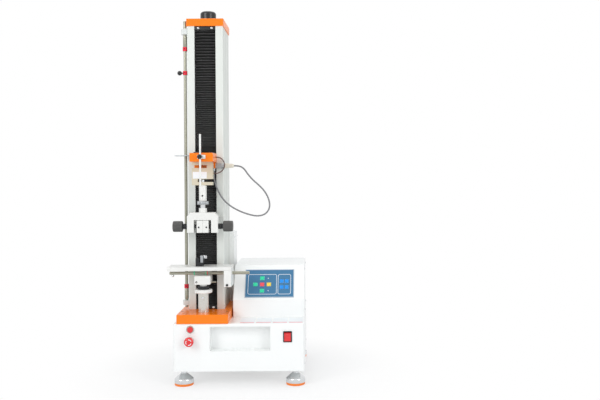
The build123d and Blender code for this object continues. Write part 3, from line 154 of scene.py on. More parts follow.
def outline(x, y, corner, insets):
    """Rounded rectangles pulled in by each inset: a corner's centre plus its radius times the
    direction. The radius shrinks with the inset, down to a least radius."""
    insets = np.asarray(insets, float)[:, None]
    radius = np.maximum(corner - insets, LEAST_RADIUS)
    quarter = np.linspace(0, np.pi / 2, CORNER_POINTS)
    angle = np.concatenate([quarter + k * np.pi / 2 for k in range(4)])
    side_x = np.repeat([1, -1, -1, 1], CORNER_POINTS) * (np.ptp(x) / 2 - insets - radius)
    side_y = np.repeat([1, 1, -1, -1], CORNER_POINTS) * (np.ptp(y) / 2 - insets - radius)
    return (np.mean(x) + side_x + radius * np.cos(angle),
            np.mean(y) + side_y + radius * np.sin(angle))


def stacked(x, y, corner, insets, heights, axis):
    """Outlines pulled in by the insets, one at each height along the axis."""
    across, along = outline(x, y, corner, insets)
    height = np.broadcast_to(np.asarray(heights, float)[:, None], across.shape)
    base = SLOPE_FOOT if axis == "slope" else np.zeros(3)
    return base + np.stack([across, along, height], -1) @ AXES[axis]


def block(x, y, z, corner=2.0, edge=0.6, axis="z"):
    """A rounded rectangle carried along the axis, pulled in by a quarter circle of radius
    edge at both ends. x, y and z are low and high along the local axes."""
    turn = np.linspace(0, np.pi / 2, EDGE_STEPS + 1)
    inset = edge * (1 - np.sin(turn))
    rise = edge * (1 - np.cos(turn))
    heights = np.concatenate([z[0] + rise, z[1] - rise[::-1]])
    return stacked(x, y, corner, np.concatenate([inset, inset[::-1]]), heights, axis)


def surround(x, y, z, corner, width, edge=0.3, axis="z"):
    """A frame: up its outside, across its face, down its inside and back under itself."""
    insets = [0, 0, edge, width - edge, width, width, 0]
    heights = [z[0], z[1] - edge, z[1], z[1], z[1] - edge, z[0], z[0]]
    return stacked(x, y, corner, insets, heights, axis)


def span(middle, width):
    """Low and high of something that wide round its middle."""
    return middle - width / 2, middle + width / 2


# %% [markdown]
# ## From grids to objects
# Several grids make one object: a row of fasteners, or a table with its slot lines. That keeps
# the list of pieces short. Open ends are closed with a flat face, doubles are merged and normals
# turned outwards. Edges sharper than 35 degrees stay sharp, and the rest is shaded smooth.

# %% Make an object
SAME_PLACE = 2e-6  # metres; points closer than this become one
FLAT = 1e-6  # millimetres; a row smaller than this is a pole and needs no face
SHARP_ANGLE = 35


def closed_mesh(name, grids):
    """The quads of every grid, and a flat face over both of its ends unless it is a loop."""
    points, faces, start = [], [], 0
    for grid in grids:
        rows, columns = grid.shape[:2]
        faces += grid_faces(rows, columns, start)
        loops = np.allclose(grid[0], grid[-1])
        for row in (0, rows - 1):
            first = start + row * columns
            if not loops and np.ptp(grid[row], axis=0).max() > FLAT:
                faces.append(list(range(first, first + columns)))
        points.append(grid.reshape(-1, 3))
        start += rows * columns
    mesh = bpy.data.meshes.new(name)
    mesh.from_pydata(metres(np.concatenate(points)).tolist(), [], faces)
    shell = bmesh.new()
    shell.from_mesh(mesh)
    bmesh.ops.remove_doubles(shell, verts=shell.verts, dist=SAME_PLACE)
    bmesh.ops.recalc_face_normals(shell, faces=shell.faces)
    shell.to_mesh(mesh)
    shell.free()
    return mesh


def shaded(mesh, angle=SHARP_ANGLE):
    """Smooth, but with a sharp edge where two faces meet at more than the angle, in degrees."""
    mesh.shade_smooth()
    mesh.set_sharp_from_angle(angle=np.radians(angle))
    return mesh


def add(piece, look, body, stands_for=()):
    """Links a piece, gives it its finish, and ties it to its body and its nodes."""
    scene.collection.objects.link(piece)
    piece.data.materials.append(look)
    if body:
        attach(piece, body)
    if stands_for:
        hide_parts(*stands_for)
    return piece


def make(name, grids, look, body="root", stands_for=(), angle=SHARP_ANGLE):
    """One object from several grids. stands_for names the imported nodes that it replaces."""
    mesh = shaded(closed_mesh(name, grids), angle)
    print(name, len(mesh.polygons), "faces")
    return add(bpy.data.objects.new(name, mesh), look, body, stands_for)


# %% [markdown]
# ## Finishes
# A finish starts from the real stuff and how its surface was made. A photograph of each surface
# could be wrapped round the pieces, but noise worked out from a size in millimetres fits every
# piece without unwrapping it. Every finish has a broad, faint change of colour, a fine grain in
# its roughness and relief, and edges softened by the Bevel node, as no machined edge is knife
# sharp.

# %% One function for a finish
CLOUD = 60.0  # millimetres across a patch of the broad change of colour
SPREAD = 0.06  # how far the grain takes the roughness up and down
NOISE_RANGE = {"From Min": 0.3, "From Max": 0.7}  # most of the noise lies between these


def node(tree, kind, inputs=None, **settings):
    """Adds a shader node, sets its properties, and fills or links its inputs."""
    made = tree.nodes.new(kind)
    for key, value in settings.items():
        setattr(made, key, value)
    for key, value in (inputs or {}).items():
        if isinstance(value, bpy.types.NodeSocket):
            tree.links.new(value, made.inputs[key])
        else:
            made.inputs[key].default_value = value
    return made


def bare_material(name):
    """A new material and its node tree with nothing in it."""
    material = bpy.data.materials.new(name)
    material.use_nodes = True
    material.node_tree.nodes.clear()
    return material, material.node_tree


def finish(name, colour, second, rough, metallic=0.0, grain=0.4, stretch=(1, 1, 1),
           relief=0.02, edge=0.4, **shader):
    """colour and second are the two ends of the broad change. grain is the size in mm of the
    fine noise, and stretch draws it out along an axis. relief is how deep it goes, and edge
    how far a corner is softened, both in mm."""
    material, tree = bare_material(name)
    where = node(tree, "ShaderNodeTexCoord").outputs["Object"]
    drawn = node(tree, "ShaderNodeMapping", {"Vector": where, "Scale": stretch})
    fine = node(tree, "ShaderNodeTexNoise", {
        "Vector": drawn.outputs["Vector"], "Scale": 1000 / grain, "Detail": 3.0,
        "Roughness": 0.6})
    broad = node(tree, "ShaderNodeTexNoise", {
        "Vector": where, "Scale": 1000 / CLOUD, "Detail": 4.0})
    tint = node(tree, "ShaderNodeMix", {
        "Factor": broad.outputs["Fac"], "A": linear(colour), "B": linear(second)},
        data_type="RGBA")
    gloss = node(tree, "ShaderNodeMapRange", {
        "Value": fine.outputs["Fac"], **NOISE_RANGE,
        "To Min": max(rough - SPREAD, 0.03), "To Max": min(rough + SPREAD, 1.0)})
    soft = node(tree, "ShaderNodeBevel", {"Radius": edge / 1000}, samples=4)
    bump = node(tree, "ShaderNodeBump", {
        "Height": fine.outputs["Fac"], "Strength": 0.35, "Distance": relief / 1000,
        "Normal": soft.outputs["Normal"]})
    shade = node(tree, "ShaderNodeBsdfPrincipled", {
        "Base Color": tint.outputs["Result"], "Roughness": gloss.outputs["Result"],
        "Metallic": metallic, "Normal": bump.outputs["Normal"], **shader})
    node(tree, "ShaderNodeOutputMaterial", {"Surface": shade.outputs["BSDF"]})
    return material


# %% [markdown]
# ## Painted and anodised finishes
# The chassis is powder-coated, the plates and the cell are enamelled, and the aluminium is
# anodised. Scratches, die lines and grit on real metal are some hundredths of a millimetre wide.
# Here they are drawn a quarter to half a millimetre wide, as coarse as they need to be to show.

# %% Paint, aluminium and steel
# Powder coat on sheet steel: an even white skin with an orange peel about a millimetre wide.
white_powder_coat = finish("white_powder_coat", "#FAFBFA", "#F6F8F7", 0.32, grain=1.2,
                           relief=0.03)
# Enamel of the rod's brackets: smooth and a little greyer than the sheets.
grey_white_enamel = finish("grey_white_enamel", "#E2E5E2", "#D8DCDA", 0.35, grain=1.0)
# Orange enamel of the plates and the crosshead: baked, glossy, with a thin clear coat.
orange_enamel = finish("orange_enamel", "#FF8500", "#FF7D00", 0.3, grain=1.0, relief=0.02,
                       **{"Coat Weight": 0.12, "Coat Roughness": 0.1,
                          "Specular IOR Level": 0.35})
# Cream enamel of the load cell: satin, slightly yellow.
cream_enamel = finish("cream_enamel", "#D9D2BC", "#D0C8B0", 0.4, grain=0.8)
# Anodised extrusion: fine die lines along its length, satin.
anodised_extrusion = finish("anodised_extrusion", "#DDE1DC", "#E3E6E1", 0.4, metallic=0.2,
                            grain=0.35, stretch=(1, 1, 0.01), relief=0.01)
# Painted shade of the extrusion's grooves: the same alloy, drawn grey because deep inside it
# gets no light.
groove_shade = finish("groove_shade", "#8E9793", "#848D89", 0.6, metallic=0.2, grain=0.4)
# White anodised aluminium of the grip, the table and the blocks: silky, slightly warm.
white_aluminium = finish("white_aluminium", "#F0F0ED", "#E8E8E4", 0.34, metallic=0.15,
                         grain=0.4, relief=0.01)
# Machined aluminium: bare and grey, with tool lines that run along x.
machined_aluminium = finish("machined_aluminium", "#A2A6A9", "#B0B4B6", 0.34, metallic=0.9,
                            grain=0.3, stretch=(0.05, 1, 1))
# Cast aluminium of the motor: dark and dull, with the sand's rough skin.
cast_aluminium = finish("cast_aluminium", "#3A3D40", "#44474A", 0.55, metallic=0.5, grain=1.5,
                        relief=0.12)
# Anodised collars: clear red over metal, so their highlight is bright.
red_anodised = finish("red_anodised", "#E0203A", "#C8152E", 0.28, metallic=0.4, grain=0.3)
# Ground steel: fine upright scratches and a bright, sharp highlight.
ground_steel = finish("ground_steel", "#B9BDC0", "#C4C8CA", 0.24, metallic=1.0, grain=0.3,
                      stretch=(1, 1, 0.02), relief=0.008)
# Turned steel: the tool's lines run round the piece, so its highlight is a soft upright band.
turned_steel = finish("turned_steel", "#CDCCC6", "#D6D5CF", 0.2, metallic=0.85, grain=0.25,
                      stretch=(0.02, 0.02, 1), relief=0.008)
# Polished steel of the feet and bright screws: nearly a mirror.
polished_steel = finish("polished_steel", "#D2D5D7", "#DDDFE0", 0.1, metallic=1.0, grain=0.5,
                        relief=0.004)
# Blackened steel of the cap screws: an oil-black skin with a dull shine.
blackened_steel = finish("blackened_steel", "#2A2B2D", "#333436", 0.38, metallic=0.6, grain=0.4)
# Drawn steel of the limit rod and the guide shaft: darker, brownish, with upright lines.
dark_rod_steel = finish("dark_rod_steel", "#9C9B8C", "#A9A899", 0.3, metallic=0.6, grain=0.3,
                        stretch=(1, 1, 0.02))
# Fluted hand wheels: dark grey and matt.
dark_knurl = finish("dark_knurl", "#5C5C5A", "#504F4E", 0.5, metallic=0.35, grain=0.4,
                    relief=0.06)
# Tinned sheet round the power supply: grey with a broad shine.
tinned_sheet = finish("tinned_sheet", "#B4B8B8", "#A6AAAA", 0.36, metallic=0.9, grain=0.8)
print("paint and metal finishes", len(bpy.data.materials))

# %% [markdown]
# ## Cloth, rubber, plastic and film
# The soft and moulded pieces have no metal in them, so their colour is all in the surface. The
# keypad's film is printed polyester, matt, with keys in plain colours.

# %% Cloth, rubber, plastic and film
# Bellows: rubber-coated cloth, a weave about half a millimetre wide that shows as a soft grain.
coated_cloth = finish("coated_cloth", "#0F1010", "#151616", 0.46, grain=0.5, relief=0.05,
                      edge=0.2, **{"Sheen Weight": 0.25, "Sheen Roughness": 0.4})
# Rubber of the drive belt: black and dull. Rubber of the feet: bright orange, hardly shiny.
toothed_rubber = finish("toothed_rubber", "#1B1B1B", "#252525", 0.7, grain=0.6, relief=0.05)
orange_rubber = finish("orange_rubber", "#FF8A2A", "#F88020", 0.55, grain=0.6, relief=0.04)
# Moulded plastic: black knobs with a clear shine, glossy red switches, a satin cream plug.
black_moulding = finish("black_moulding", "#17181A", "#202123", 0.26, grain=0.5)
red_moulding = finish("red_moulding", "#E92A2E", "#DE2226", 0.2, grain=0.6,
                      **{"Coat Weight": 0.4, "Coat Roughness": 0.06})
cream_moulding = finish("cream_moulding", "#E8E3D4", "#DFD9C8", 0.38, grain=0.5)
# Extruded sheaths of the two cords: smooth, with a soft shine.
grey_sheath = finish("grey_sheath", "#87878A", "#7A7A7C", 0.45, grain=0.5, relief=0.03)
brown_sheath = finish("brown_sheath", "#6C5450", "#5E4844", 0.45, grain=0.5, relief=0.03)
# Printed film: matt colours, and a rim in silver ink.
film_blue = finish("film_blue", "#3E789F", "#39729A", 0.42, grain=0.25, relief=0.01)
film_silver = finish("film_silver", "#B9C6D2", "#A9B7C4", 0.34, metallic=0.5, grain=0.3)
film_white = finish("film_white", "#F4F8FA", "#EAF0F4", 0.4, grain=0.3)
film_green = finish("film_green", "#30E0AC", "#29D6A2", 0.4, grain=0.3)
film_red = finish("film_red", "#FA5866", "#F04C5A", 0.4, grain=0.3)
film_pink = finish("film_pink", "#F3C3C6", "#EFBABE", 0.4, grain=0.3)
film_yellow = finish("film_yellow", "#FBDD58", "#F2D24C", 0.4, grain=0.3)
film_azure = finish("film_azure", "#2198F4", "#188CE8", 0.4, grain=0.3)
print("all finishes", len(bpy.data.materials))

# %% [markdown]
# ## The two cords
# The sensor's cable leaves its plug to the right, droops in a wide loop and comes back up to a
# gland under the crosshead's neck. The load cell's lead makes a short bow from the cell's side
# up to the arm. A tube of quads could be bent along the same way, but a NURBS curve with a round
# bevel stays smooth and keeps its thickness. Each follows the same points as its solid.

# %% Cords
CABLE = [
    (-19.5, 90, 683), (-3, 90, 683), (12, 90, 674), (23, 90, 657), (40, 90, 637), (60, 89, 620),
    (78, 89, 601), (92, 88, 574), (94, 88, 547), (80, 87, 527), (54, 87, 521), (26, 87, 527),
    (-4, 87, 538), (-34, 87, 555), (-58, 88, 578), (-74, 88, 607), (-84.5, 88, 640),
    (-84.5, 88, 667),
]
LEAD = [
    (-80, 50, 658.5), (-66.5, 50, 658.5), (-52, 50, 667), (-44, 50, 683), (-49, 50, 700),
    (-61.5, 50, 710), (-73.5, 50, 710),
]


def cord_curve(name, points, diameter, look, node_name):
    """A curve of order 3, clamped at both ends, with a round bevel of half the diameter."""
    curve = bpy.data.curves.new(name, "CURVE")
    curve.dimensions = "3D"
    curve.bevel_depth = diameter / 2000
    curve.bevel_resolution = 5
    curve.resolution_u = 10
    curve.use_fill_caps = True
    spline = curve.splines.new("NURBS")
    spline.points.add(len(points) - 1)
    places = np.c_[metres(points), np.ones(len(points))]
    spline.points.foreach_set("co", places.ravel())
    spline.order_u = 3
    spline.use_endpoint_u = True
    print(name, len(points), "points")
    return add(bpy.data.objects.new(name, curve), look, "crosshead", (node_name,))


sensor_cable = cord_curve("sensor_cable_line", CABLE, 5, grey_sheath,
                          "sensor_cable")
cell_lead = cord_curve("cell_lead_line", LEAD, 3.5, brown_sheath, "cell_lead")
plug_rows = [(0, 0), (7.4, 0), (8, 0.6), (8, 3), (7.4, 3.6), (8, 4.2), (8, 14), (7.4, 15),
             (7, 15.4), (7, 20), (6.4, 20.6), (7, 21.2), (7, 24.6), (6.2, 26.4), (4.6, 28.6),
             (3.4, 30), (0, 30)]
sensor_plug = make("plug_shell", [turned(plug_rows, (-49.5, 90, 683), "x")], cream_moulding,
                   "crosshead", ("sensor_plug",))

# %% [markdown]
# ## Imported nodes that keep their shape
# Sheet metal, the extrusion, the rails and the inner drive are already right in the CAD model,
# so building them again would gain nothing. They only get their finishes.

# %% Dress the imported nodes
def dress(look, *names):
    """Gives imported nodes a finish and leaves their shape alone."""
    for name in names:
        for material_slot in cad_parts[name].material_slots:
            material_slot.material = look
    print(look.name, "on", *names)


dress(white_powder_coat, "chassis_cover", "panel_box", "rear_housing", "chassis_bottom",
      "storage_tray")
dress(grey_white_enamel, "rod_brackets")
dress(orange_enamel, "base_plate", "column_top_plate", "crosshead_arm")
dress(anodised_extrusion, "column")
dress(ground_steel, "guide_rails", "screw_bearings", "ball_screw", "motor_pulley")
dress(machined_aluminium, "carriage", "crosshead_brackets")
dress(cast_aluminium, "drive_motor")
dress(toothed_rubber, "drive_belt")
dress(tinned_sheet, "electronics")
dress(cream_enamel, "load_cell")
dress(white_aluminium, "grip_frame", "left_jaw", "right_jaw")
dress(black_moulding, "rear_connectors", "top_cap")
dress(film_blue, "keypad_overlay")
dress(red_moulding, "power_rocker")

# %% [markdown]
# ## Fasteners
# The machine is held together by socket screws: a round head with a small chamfer and a
# six-sided hole. A head could be cut with a Boolean for each screw. One profile is turned
# instead, its inner rows follow a hexagon, and the grid is copied to each place.

# %% Fasteners
def socket_head(axis, size):
    """A cap screw of that thread size: head 1.5 sizes across, hole 0.8 sizes across flats."""
    head, hole = 0.75 * size, 0.46 * size
    rows = [(head, -0.2), (head, 0.5 * size), (head - 0.1 * size, 0.6 * size),
            (hole, 0.6 * size), (hole, 0.6 * size), (hole, 0.22 * size), (0, 0.22 * size)]
    return turned(rows, (0, 0, 0), axis, 48, hexagon=(4, 5))


def button_head(axis, size):
    """A low domed head with a hexagon socket, as used on sheet metal."""
    head, hole = 0.9 * size, 0.36 * size
    rows = [(head, -0.1), (head, 0.08 * size), (0.8 * head, 0.34 * size),
            (0.55 * head, 0.46 * size), (hole, 0.48 * size), (hole, 0.2 * size),
            (0, 0.2 * size)]
    return turned(rows, (0, 0, 0), axis, 36, hexagon=(5,))


def copies(grid, places):
    """The same grid moved to each place."""
    return [grid + np.asarray(place, float) for place in places]


def screws(name, kind, axis, size, places, look=blackened_steel, body="root"):
    """One object with the same head at every place, looking along the axis."""
    return make(name, copies(kind(axis, size), places), look, body)


# %% [markdown]
# ## Levelling feet
# A polished bell of steel sits on an orange rubber pad and hangs on a threaded stud. The bell is
# one turned profile: a straight side, a rounded brim, a conical shoulder and a neck. The nut
# above it is the same kind of profile with two rows drawn out to a hexagon.

# %% Levelling feet
FEET = {"front_left": (-174, 32), "front_right": (174, 32),
        "rear_left": (-174, 393), "rear_right": (174, 393)}
bell_rows = [(0, 7), (29, 7), (29.8, 7.6), (30, 8.6), (30, 18), (29.8, 19.6), (29, 21.2),
             (27.6, 22.6), (25.4, 24.4), (18.4, 30), (11.6, 35.4), (10.2, 36.4), (9.6, 37.6),
             (9.5, 41)]
nut_rows = [(9.2, 38.8), (10.6, 39.4), (10.6, 42.2), (9.2, 42.9), (5.9, 42.9), (5.9, 78),
            (0, 78)]
pad_rows = [(0, 0), (27.5, 0), (28.6, 0.5), (29.3, 2), (29.3, 6.4), (28.8, 7.2), (0, 7.2)]
for corner_name, (x, y) in FEET.items():
    foot = "foot_" + corner_name
    make(foot + "_bell", [turned(bell_rows, (x, y, 0), sides=96),
                          turned(nut_rows, (x, y, 0), hexagon=(1, 2))],
         polished_steel, foot, (foot,))
    make(foot + "_pad", [turned(pad_rows, (x, y, 0), sides=96)], orange_rubber, foot)

# %% [markdown]
# ## Switches
# The push button and the mushroom switch are moulded plastic in turned bezels. The mushroom's
# head has three raised arcs that show which way it turns to let go. They could be a picture on
# the head, but as thin bars they also catch the light. The rocker sits in a black frame that
# snaps into the sheet.

# %% Switches
BUTTON, STOP = (-149, 0, 178), (-150.5, 0, 143)
ROCKER_X, ROCKER_Z = 151, 154
bezel_rows = [(10.7, -24), (10.7, -0.1), (12.5, 0), (12.5, 1.4), (11.6, 3), (10.2, 3),
              (9.2, 2.2), (8.6, 2.2), (8.6, -24), (10.7, -24)]
collar_rows = [(10.7, -24), (10.7, -0.1), (12.5, 0), (12.5, 1.6), (11.8, 2.8), (6.3, 2.8),
               (6.1, -24), (10.7, -24)]
cap_rows = [(0, -12), (8.4, -12), (8.45, 6.6), (8.0, 7.5), (7.0, 7.9), (4, 8), (0, 8)]
mushroom_rows = [(0, -12), (5.9, -12), (5.9, 12.6), (13.2, 13), (14.2, 13.6), (14.5, 15),
                 (14.5, 20.4), (14.1, 21.8), (13, 23), (11, 23.9), (8, 24.6), (4, 24.9), (0, 25)]


def arc_band(centre, near, far, start, sweep, low, high, steps=14):
    """A flat curved bar: near and far radius, from one angle over a sweep, low to high."""
    angle = np.radians(np.linspace(start, start + sweep, steps))[:, None]
    radius = np.array([near, near, far, far])
    height = np.array([low, high, high, low])
    local = np.stack([radius * np.cos(angle), radius * np.sin(angle),
                      np.broadcast_to(height, (steps, 4))], -1)
    return np.asarray(centre, float) + local @ AXES["-y"]


make("button_bezel", [turned(bezel_rows, BUTTON, "-y", 64)], turned_steel,
     stands_for=("switch_bodies",))
make("stop_collar_ring", [turned(collar_rows, STOP, "-y", 64)], turned_steel)
make("button_cap", [turned(cap_rows, BUTTON, "-y", 64)], red_moulding, "push_button",
     ("push_button",))
make("mushroom_head", [turned(mushroom_rows, STOP, "-y", 96)], red_moulding, "emergency_stop",
     ("emergency_stop",))
make("mushroom_arcs", [arc_band(STOP, 7.2, 9.4, start, 78, 24.2, 25.1)
                       for start in (20, 140, 260)],
     film_white, "emergency_stop")
make("rocker_frame", [
    surround(span(ROCKER_X, 27), span(ROCKER_Z, 34), (-0.2, 2.5), 2, 3, 0.6, "-y"),
    block(span(ROCKER_X, 23), span(ROCKER_Z, 30), (-18, -2), 1, 0.4, "-y")],
     black_moulding)

# %% [markdown]
# ## Bellows
# Two pleated covers of coated cloth keep dust off the ball screw. Each hangs between the
# crosshead and one end of the column; on the real machine its folds open and close as the
# crosshead travels. Its own weight opens the upper folds more. A picture of folds on a flat
# strip would keep a straight edge, so the folds are real. Here each is built once, at rest.

# %% Bellows
BELLOWS_X = (-145.5, -78.5)
CREST_Y, SHOULDER_Y, VALLEY_Y, BACK_Y = 103, 103.6, 120, 126
HEM = 10  # the flat end that its strip clamps


def bellows(name, low, high, count, sag, node_name):
    """Rows up the height, each a rectangle whose front lies in a valley, on a crest or on its
    shoulder. A fold's height is a unit times 1 + sag * s, with s from -1 below to 1 above."""
    share = 1 + sag * np.linspace(-1, 1, count)
    height = share * (high - low - 2 * HEM) / share.sum()
    foot = low + HEM + np.cumsum(height) - height
    rise = np.array([0, 0.42, 0.5, 0.58])
    levels = (foot[:, None] + rise * height[:, None]).ravel()
    folds = np.tile([VALLEY_Y, SHOULDER_Y, CREST_Y, SHOULDER_Y], count)
    z = np.concatenate([[low, low + HEM], levels, [high - HEM, high - HEM, high]])
    front = np.concatenate([[CREST_Y, CREST_Y], folds, [VALLEY_Y, CREST_Y, CREST_Y]])
    back = np.full_like(front, BACK_Y)
    left, right = BELLOWS_X
    x = np.broadcast_to([left, right, right, left], (len(z), 4))
    y = np.stack([front, front, back, back], 1)
    grid = np.stack([x, y, np.broadcast_to(z[:, None], x.shape)], -1)
    piece = make(name, [grid], coated_cloth, None, (node_name,), angle=25)
    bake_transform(piece)


bellows("upper_pleats", 715.3, 1133, 56, 0.42, "upper_bellows")
bellows("lower_pleats", 223, 674.7, 68, 0.22, "lower_bellows")

# %% [markdown]
# ## Screws and strips of the column and the boxes
# Socket screws hold the base plate and the top plate. A thin strip with two bright screws
# clamps each end of the bellows. The grooves in the column's sides are dark because light
# hardly gets in. A shallow strip in a darker finish gives that, and costs less than a deep slot.
# Low domed screws hold the sheets of the boxes.

# %% Column fasteners
screws("base_screws", socket_head, "z", 6, product((-183, -41), (60, 240), (219.6,)))
screws("top_screws", socket_head, "z", 6, product((-161, -63), (112, 250), (1153.5,)))
make("bellows_strips", [block((-145, -79), z, (-102.9, -101.2), 1, 0.3, "-y")
                        for z in ((1121, 1132.5), (223.4, 232))],
     coated_cloth)
screws("strip_screws", button_head, "-y", 4.5, product((-133.5, -90.5), (101.3,), (1127, 227.8)),
       polished_steel)
# Painted shade: thin dark strips on the grooves' floors stand for the shade deep inside the
# slots.
make("groove_shade_strips", [block(span(y, 5.2), (223.5, 1132.5), x, 0.4, 0.2, "x")
                       for y in (126, 172, 220) for x in ((-57.45, -56.6), (-167.4, -166.55))],
     groove_shade)
SHEET_SCREWS = {
    "housing_screws": ("x", (-40,), (275, 349), (210, 440)),
    "housing_screws_left": ("-x", (-184,), (275, 349), (210, 440)),
    "panel_screws": ("x", (202,), (190, 365), (205, 340)),
    "chassis_screws_right": ("x", (202,), (40, 213, 385), (62,)),
    "chassis_screws_left": ("-x", (-202,), (40, 213, 385), (62,)),
}
for row_name, (axis, *places) in SHEET_SCREWS.items():
    screws(row_name, button_head, axis, 4, product(*places), polished_steel)

# %% [markdown]
# ## Crosshead, load cell and adapter
# The arm is bolted to the neck from above. On the cell's front is a bare plate, and a stud
# shows in its lower slot. The adapter is a turned sleeve with a hole for a cross pin, and a
# fluted ring locks the grip below it. The hole can't be turned, so it is cut with a Boolean.

# %% Crosshead, load cell and adapter
LOAD_LINE = (-114.5, 50, 0)  # cell, adapter, grip and lower fixture stand on one upright line
PIN_HOLE = [(3, 30), (3, 70)]


def drilled(piece, hole):
    """Takes the grid of a hole away from a piece with the exact Boolean."""
    tool = bpy.data.objects.new("tool", closed_mesh("tool", [hole]))
    scene.collection.objects.link(tool)
    cut = piece.modifiers.new("hole", "BOOLEAN")
    cut.operation, cut.solver, cut.object = "DIFFERENCE", "EXACT", tool
    graph = bpy.context.evaluated_depsgraph_get()
    mesh = bpy.data.meshes.new_from_object(piece.evaluated_get(graph))
    piece.modifiers.clear()
    piece.data = shaded(mesh)
    bpy.data.objects.remove(tool)
    print(piece.name, "drilled", len(mesh.polygons), "faces")


screws("arm_screws", socket_head, "z", 6, product((-134, -85), (20, 62), (722,)),
       body="crosshead")
make("rod_holder", [block((-119.7, -95.3), (703.8, 715.2), (15, 27.2), 1, 0.5, "-y")],
     white_aluminium, "crosshead")
screws("holder_screw", button_head, "-y", 4, [(-100, -27.2, 709.5)], polished_steel,
       "crosshead")
make("cell_plate", [block((-144, -100), (643, 664), (-38.1, -37.6), 1, 0.15, "-y")],
     film_white, "crosshead")
cell_stud_rows = [(5, 631), (5, 639), (4.2, 640), (0, 640)]
make("cell_stud", [turned(cell_stud_rows, LOAD_LINE, sides=32)], polished_steel, "crosshead")
sleeve_rows = [(0, 572), (11.2, 572), (12, 572.8), (12, 578), (11.6, 578.4), (11.6, 579.4),
               (12, 579.8), (12, 620.6), (11, 622), (0, 622)]
sleeve = make("adapter_sleeve", [turned(sleeve_rows, LOAD_LINE, sides=64)], white_aluminium,
              "crosshead", ("cell_adapter",))
drilled(sleeve, turned(PIN_HOLE, (-114.5, 0, 588.7), "y", 32))
stud_rows = [(0, 549.8), (7.5, 549.8), (7.5, 572.2), (0, 572.2)]
make("adapter_stud", [turned(stud_rows, LOAD_LINE)], polished_steel, "crosshead")
ring_rows = [(7.6, 561), (16.6, 561), (18, 562), (18, 571), (16.6, 572), (7.6, 572)]
make("lock_ring", [turned(ring_rows, LOAD_LINE, sides=216, ribs=36, depth=1.0,
                          grip=(561.5, 571.5))],
     machined_aluminium, "crosshead")

# %% [markdown]
# ## Grip and hand wheels
# Two jaws close in an upside-down U. Each is driven by a spindle with a dark fluted hand wheel.
# Real flutes are milled one by one. Here they are a cosine on the radius, eight points to a
# flute, which gives the same soft ridges.

# %% Grip and hand wheels
stem_rows = [(0, -45.3), (6, -45.3), (6, -18.8), (9, -18.7), (9, -12), (8, -11.5), (8, -10.5),
             (9, -10), (9, -5), (8, -4.5), (8, -3.5), (9, -3), (9, 0.6), (0, 0.6)]
wheel_rows = [(9.2, 0), (14.5, 0), (16.4, 0.8), (17, 2.4), (17, 27.4), (16.4, 29.2), (14.8, 30),
              (9, 30), (8.2, 29.2), (0, 29.2)]
FLUTES = {"sides": 240, "ribs": 30, "depth": 1.3, "grip": (2, 28)}
for side, x in (("left", -126.5), ("right", -102.5)):
    screws(side + "_jaw_screw", socket_head, "-y", 3.2, [(x, 38, 490)], body=side + "_jaw")
for side, x, axis in (("left", -178.5, "-x"), ("right", -50.5, "x")):
    wheel, hub = side + "_wheel", (x, 50, 492.5)
    make(wheel + "_grip", [turned(wheel_rows, hub, axis, **FLUTES)], dark_knurl, wheel,
         (side + "_hand_wheel",))
    make(wheel + "_stem", [turned(stem_rows, hub, axis)], blackened_steel, wheel)

# %% [markdown]
# ## Front rod and knob
# A bright rod slides in a small white block, and a black knob with eight lobes clamps it. Both
# are turned, the knob with the same cosine as the wheels, only slower.

# %% Front rod and knob
rod_rows = [(0, 618), (2.4, 618), (3, 618.6), (3, 778.2), (2.4, 779), (0, 779)]
make("scale_rod", [turned(rod_rows, (-111.5, -21, 0), sides=32)], white_aluminium, "front_rod",
     ("front_rod",))
knob_rows = [(2.5, -4.7), (2.5, 2), (5, 2), (5.2, 3), (6.6, 3.4), (7.5, 4.6), (7.5, 9.4),
             (6.9, 11.2), (5.4, 12), (3, 11.8), (2.6, 11.4), (0, 11.4)]
make("rod_knob_grip", [turned(knob_rows, (-111.5, -27, 709.5), "-y", 96, ribs=8, depth=0.8,
                              grip=(4, 10))],
     black_moulding, "rod_knob", ("rod_knob",))

# %% [markdown]
# ## Limit rod
# The rod has a sleeve near each end. Red collars are clamped on it by small socket screws, and a
# plain black ball moves the middle one. The ball is an arc of points turned round its stem,
# because a UV sphere would leave a second pole inside the stem.

# %% Limit rod
LIMIT_LINE = (-178, 112, 0)
limit_rod_rows = [(0, 228), (4, 228), (5, 229), (5, 1150), (4, 1151), (0, 1151)]
lower_sleeve_rows = [(5, 255), (6.3, 255), (6.5, 255.3), (6.5, 289.2), (6.3, 289.5), (5, 289.5)]
upper_sleeve_rows = [(5, 1067), (6.3, 1067), (6.5, 1067.3), (6.5, 1102.8), (6.3, 1103),
                     (5, 1103)]
make("limit_rod_shaft", [turned(rows, LIMIT_LINE)
                         for rows in (limit_rod_rows, lower_sleeve_rows, upper_sleeve_rows)],
     dark_rod_steel, "limit_rod", ("limit_rod",))
band_rows = np.array([(5, 0), (6.9, 0), (7.5, 0.6), (7.5, 12.4), (6.9, 13), (5, 13)])
make("limit_collars", [turned(band_rows + (0, z), LIMIT_LINE, sides=64) for z in (289.5, 1054)],
     red_anodised, "limit_rod", ("rod_collars",))
screws("limit_collar_screws", socket_head, "-y", 2.4,
       product((-178,), (104.8,), (296, 1060.5)), body="limit_rod")
make("stop_band", [turned(band_rows + (0, 977), LIMIT_LINE, sides=64)], red_anodised,
     "stop_collar", ("stop_collar",))
screws("stop_band_screw", socket_head, "-y", 2.4, [(-178, 104.8, 983.5)], body="stop_collar")
arc = np.linspace(-np.pi / 2 + 0.27, np.pi / 2, 15)
ball_rows = np.concatenate([[(0, -0.2), (2, -0.2), (2, 3.2)],
                            np.c_[7.5 * np.cos(arc), 10.5 + 7.5 * np.sin(arc)]])
make("stop_ball", [turned(ball_rows, (-185.4, 112, 983.5), "-x")], black_moulding,
     "stop_collar")

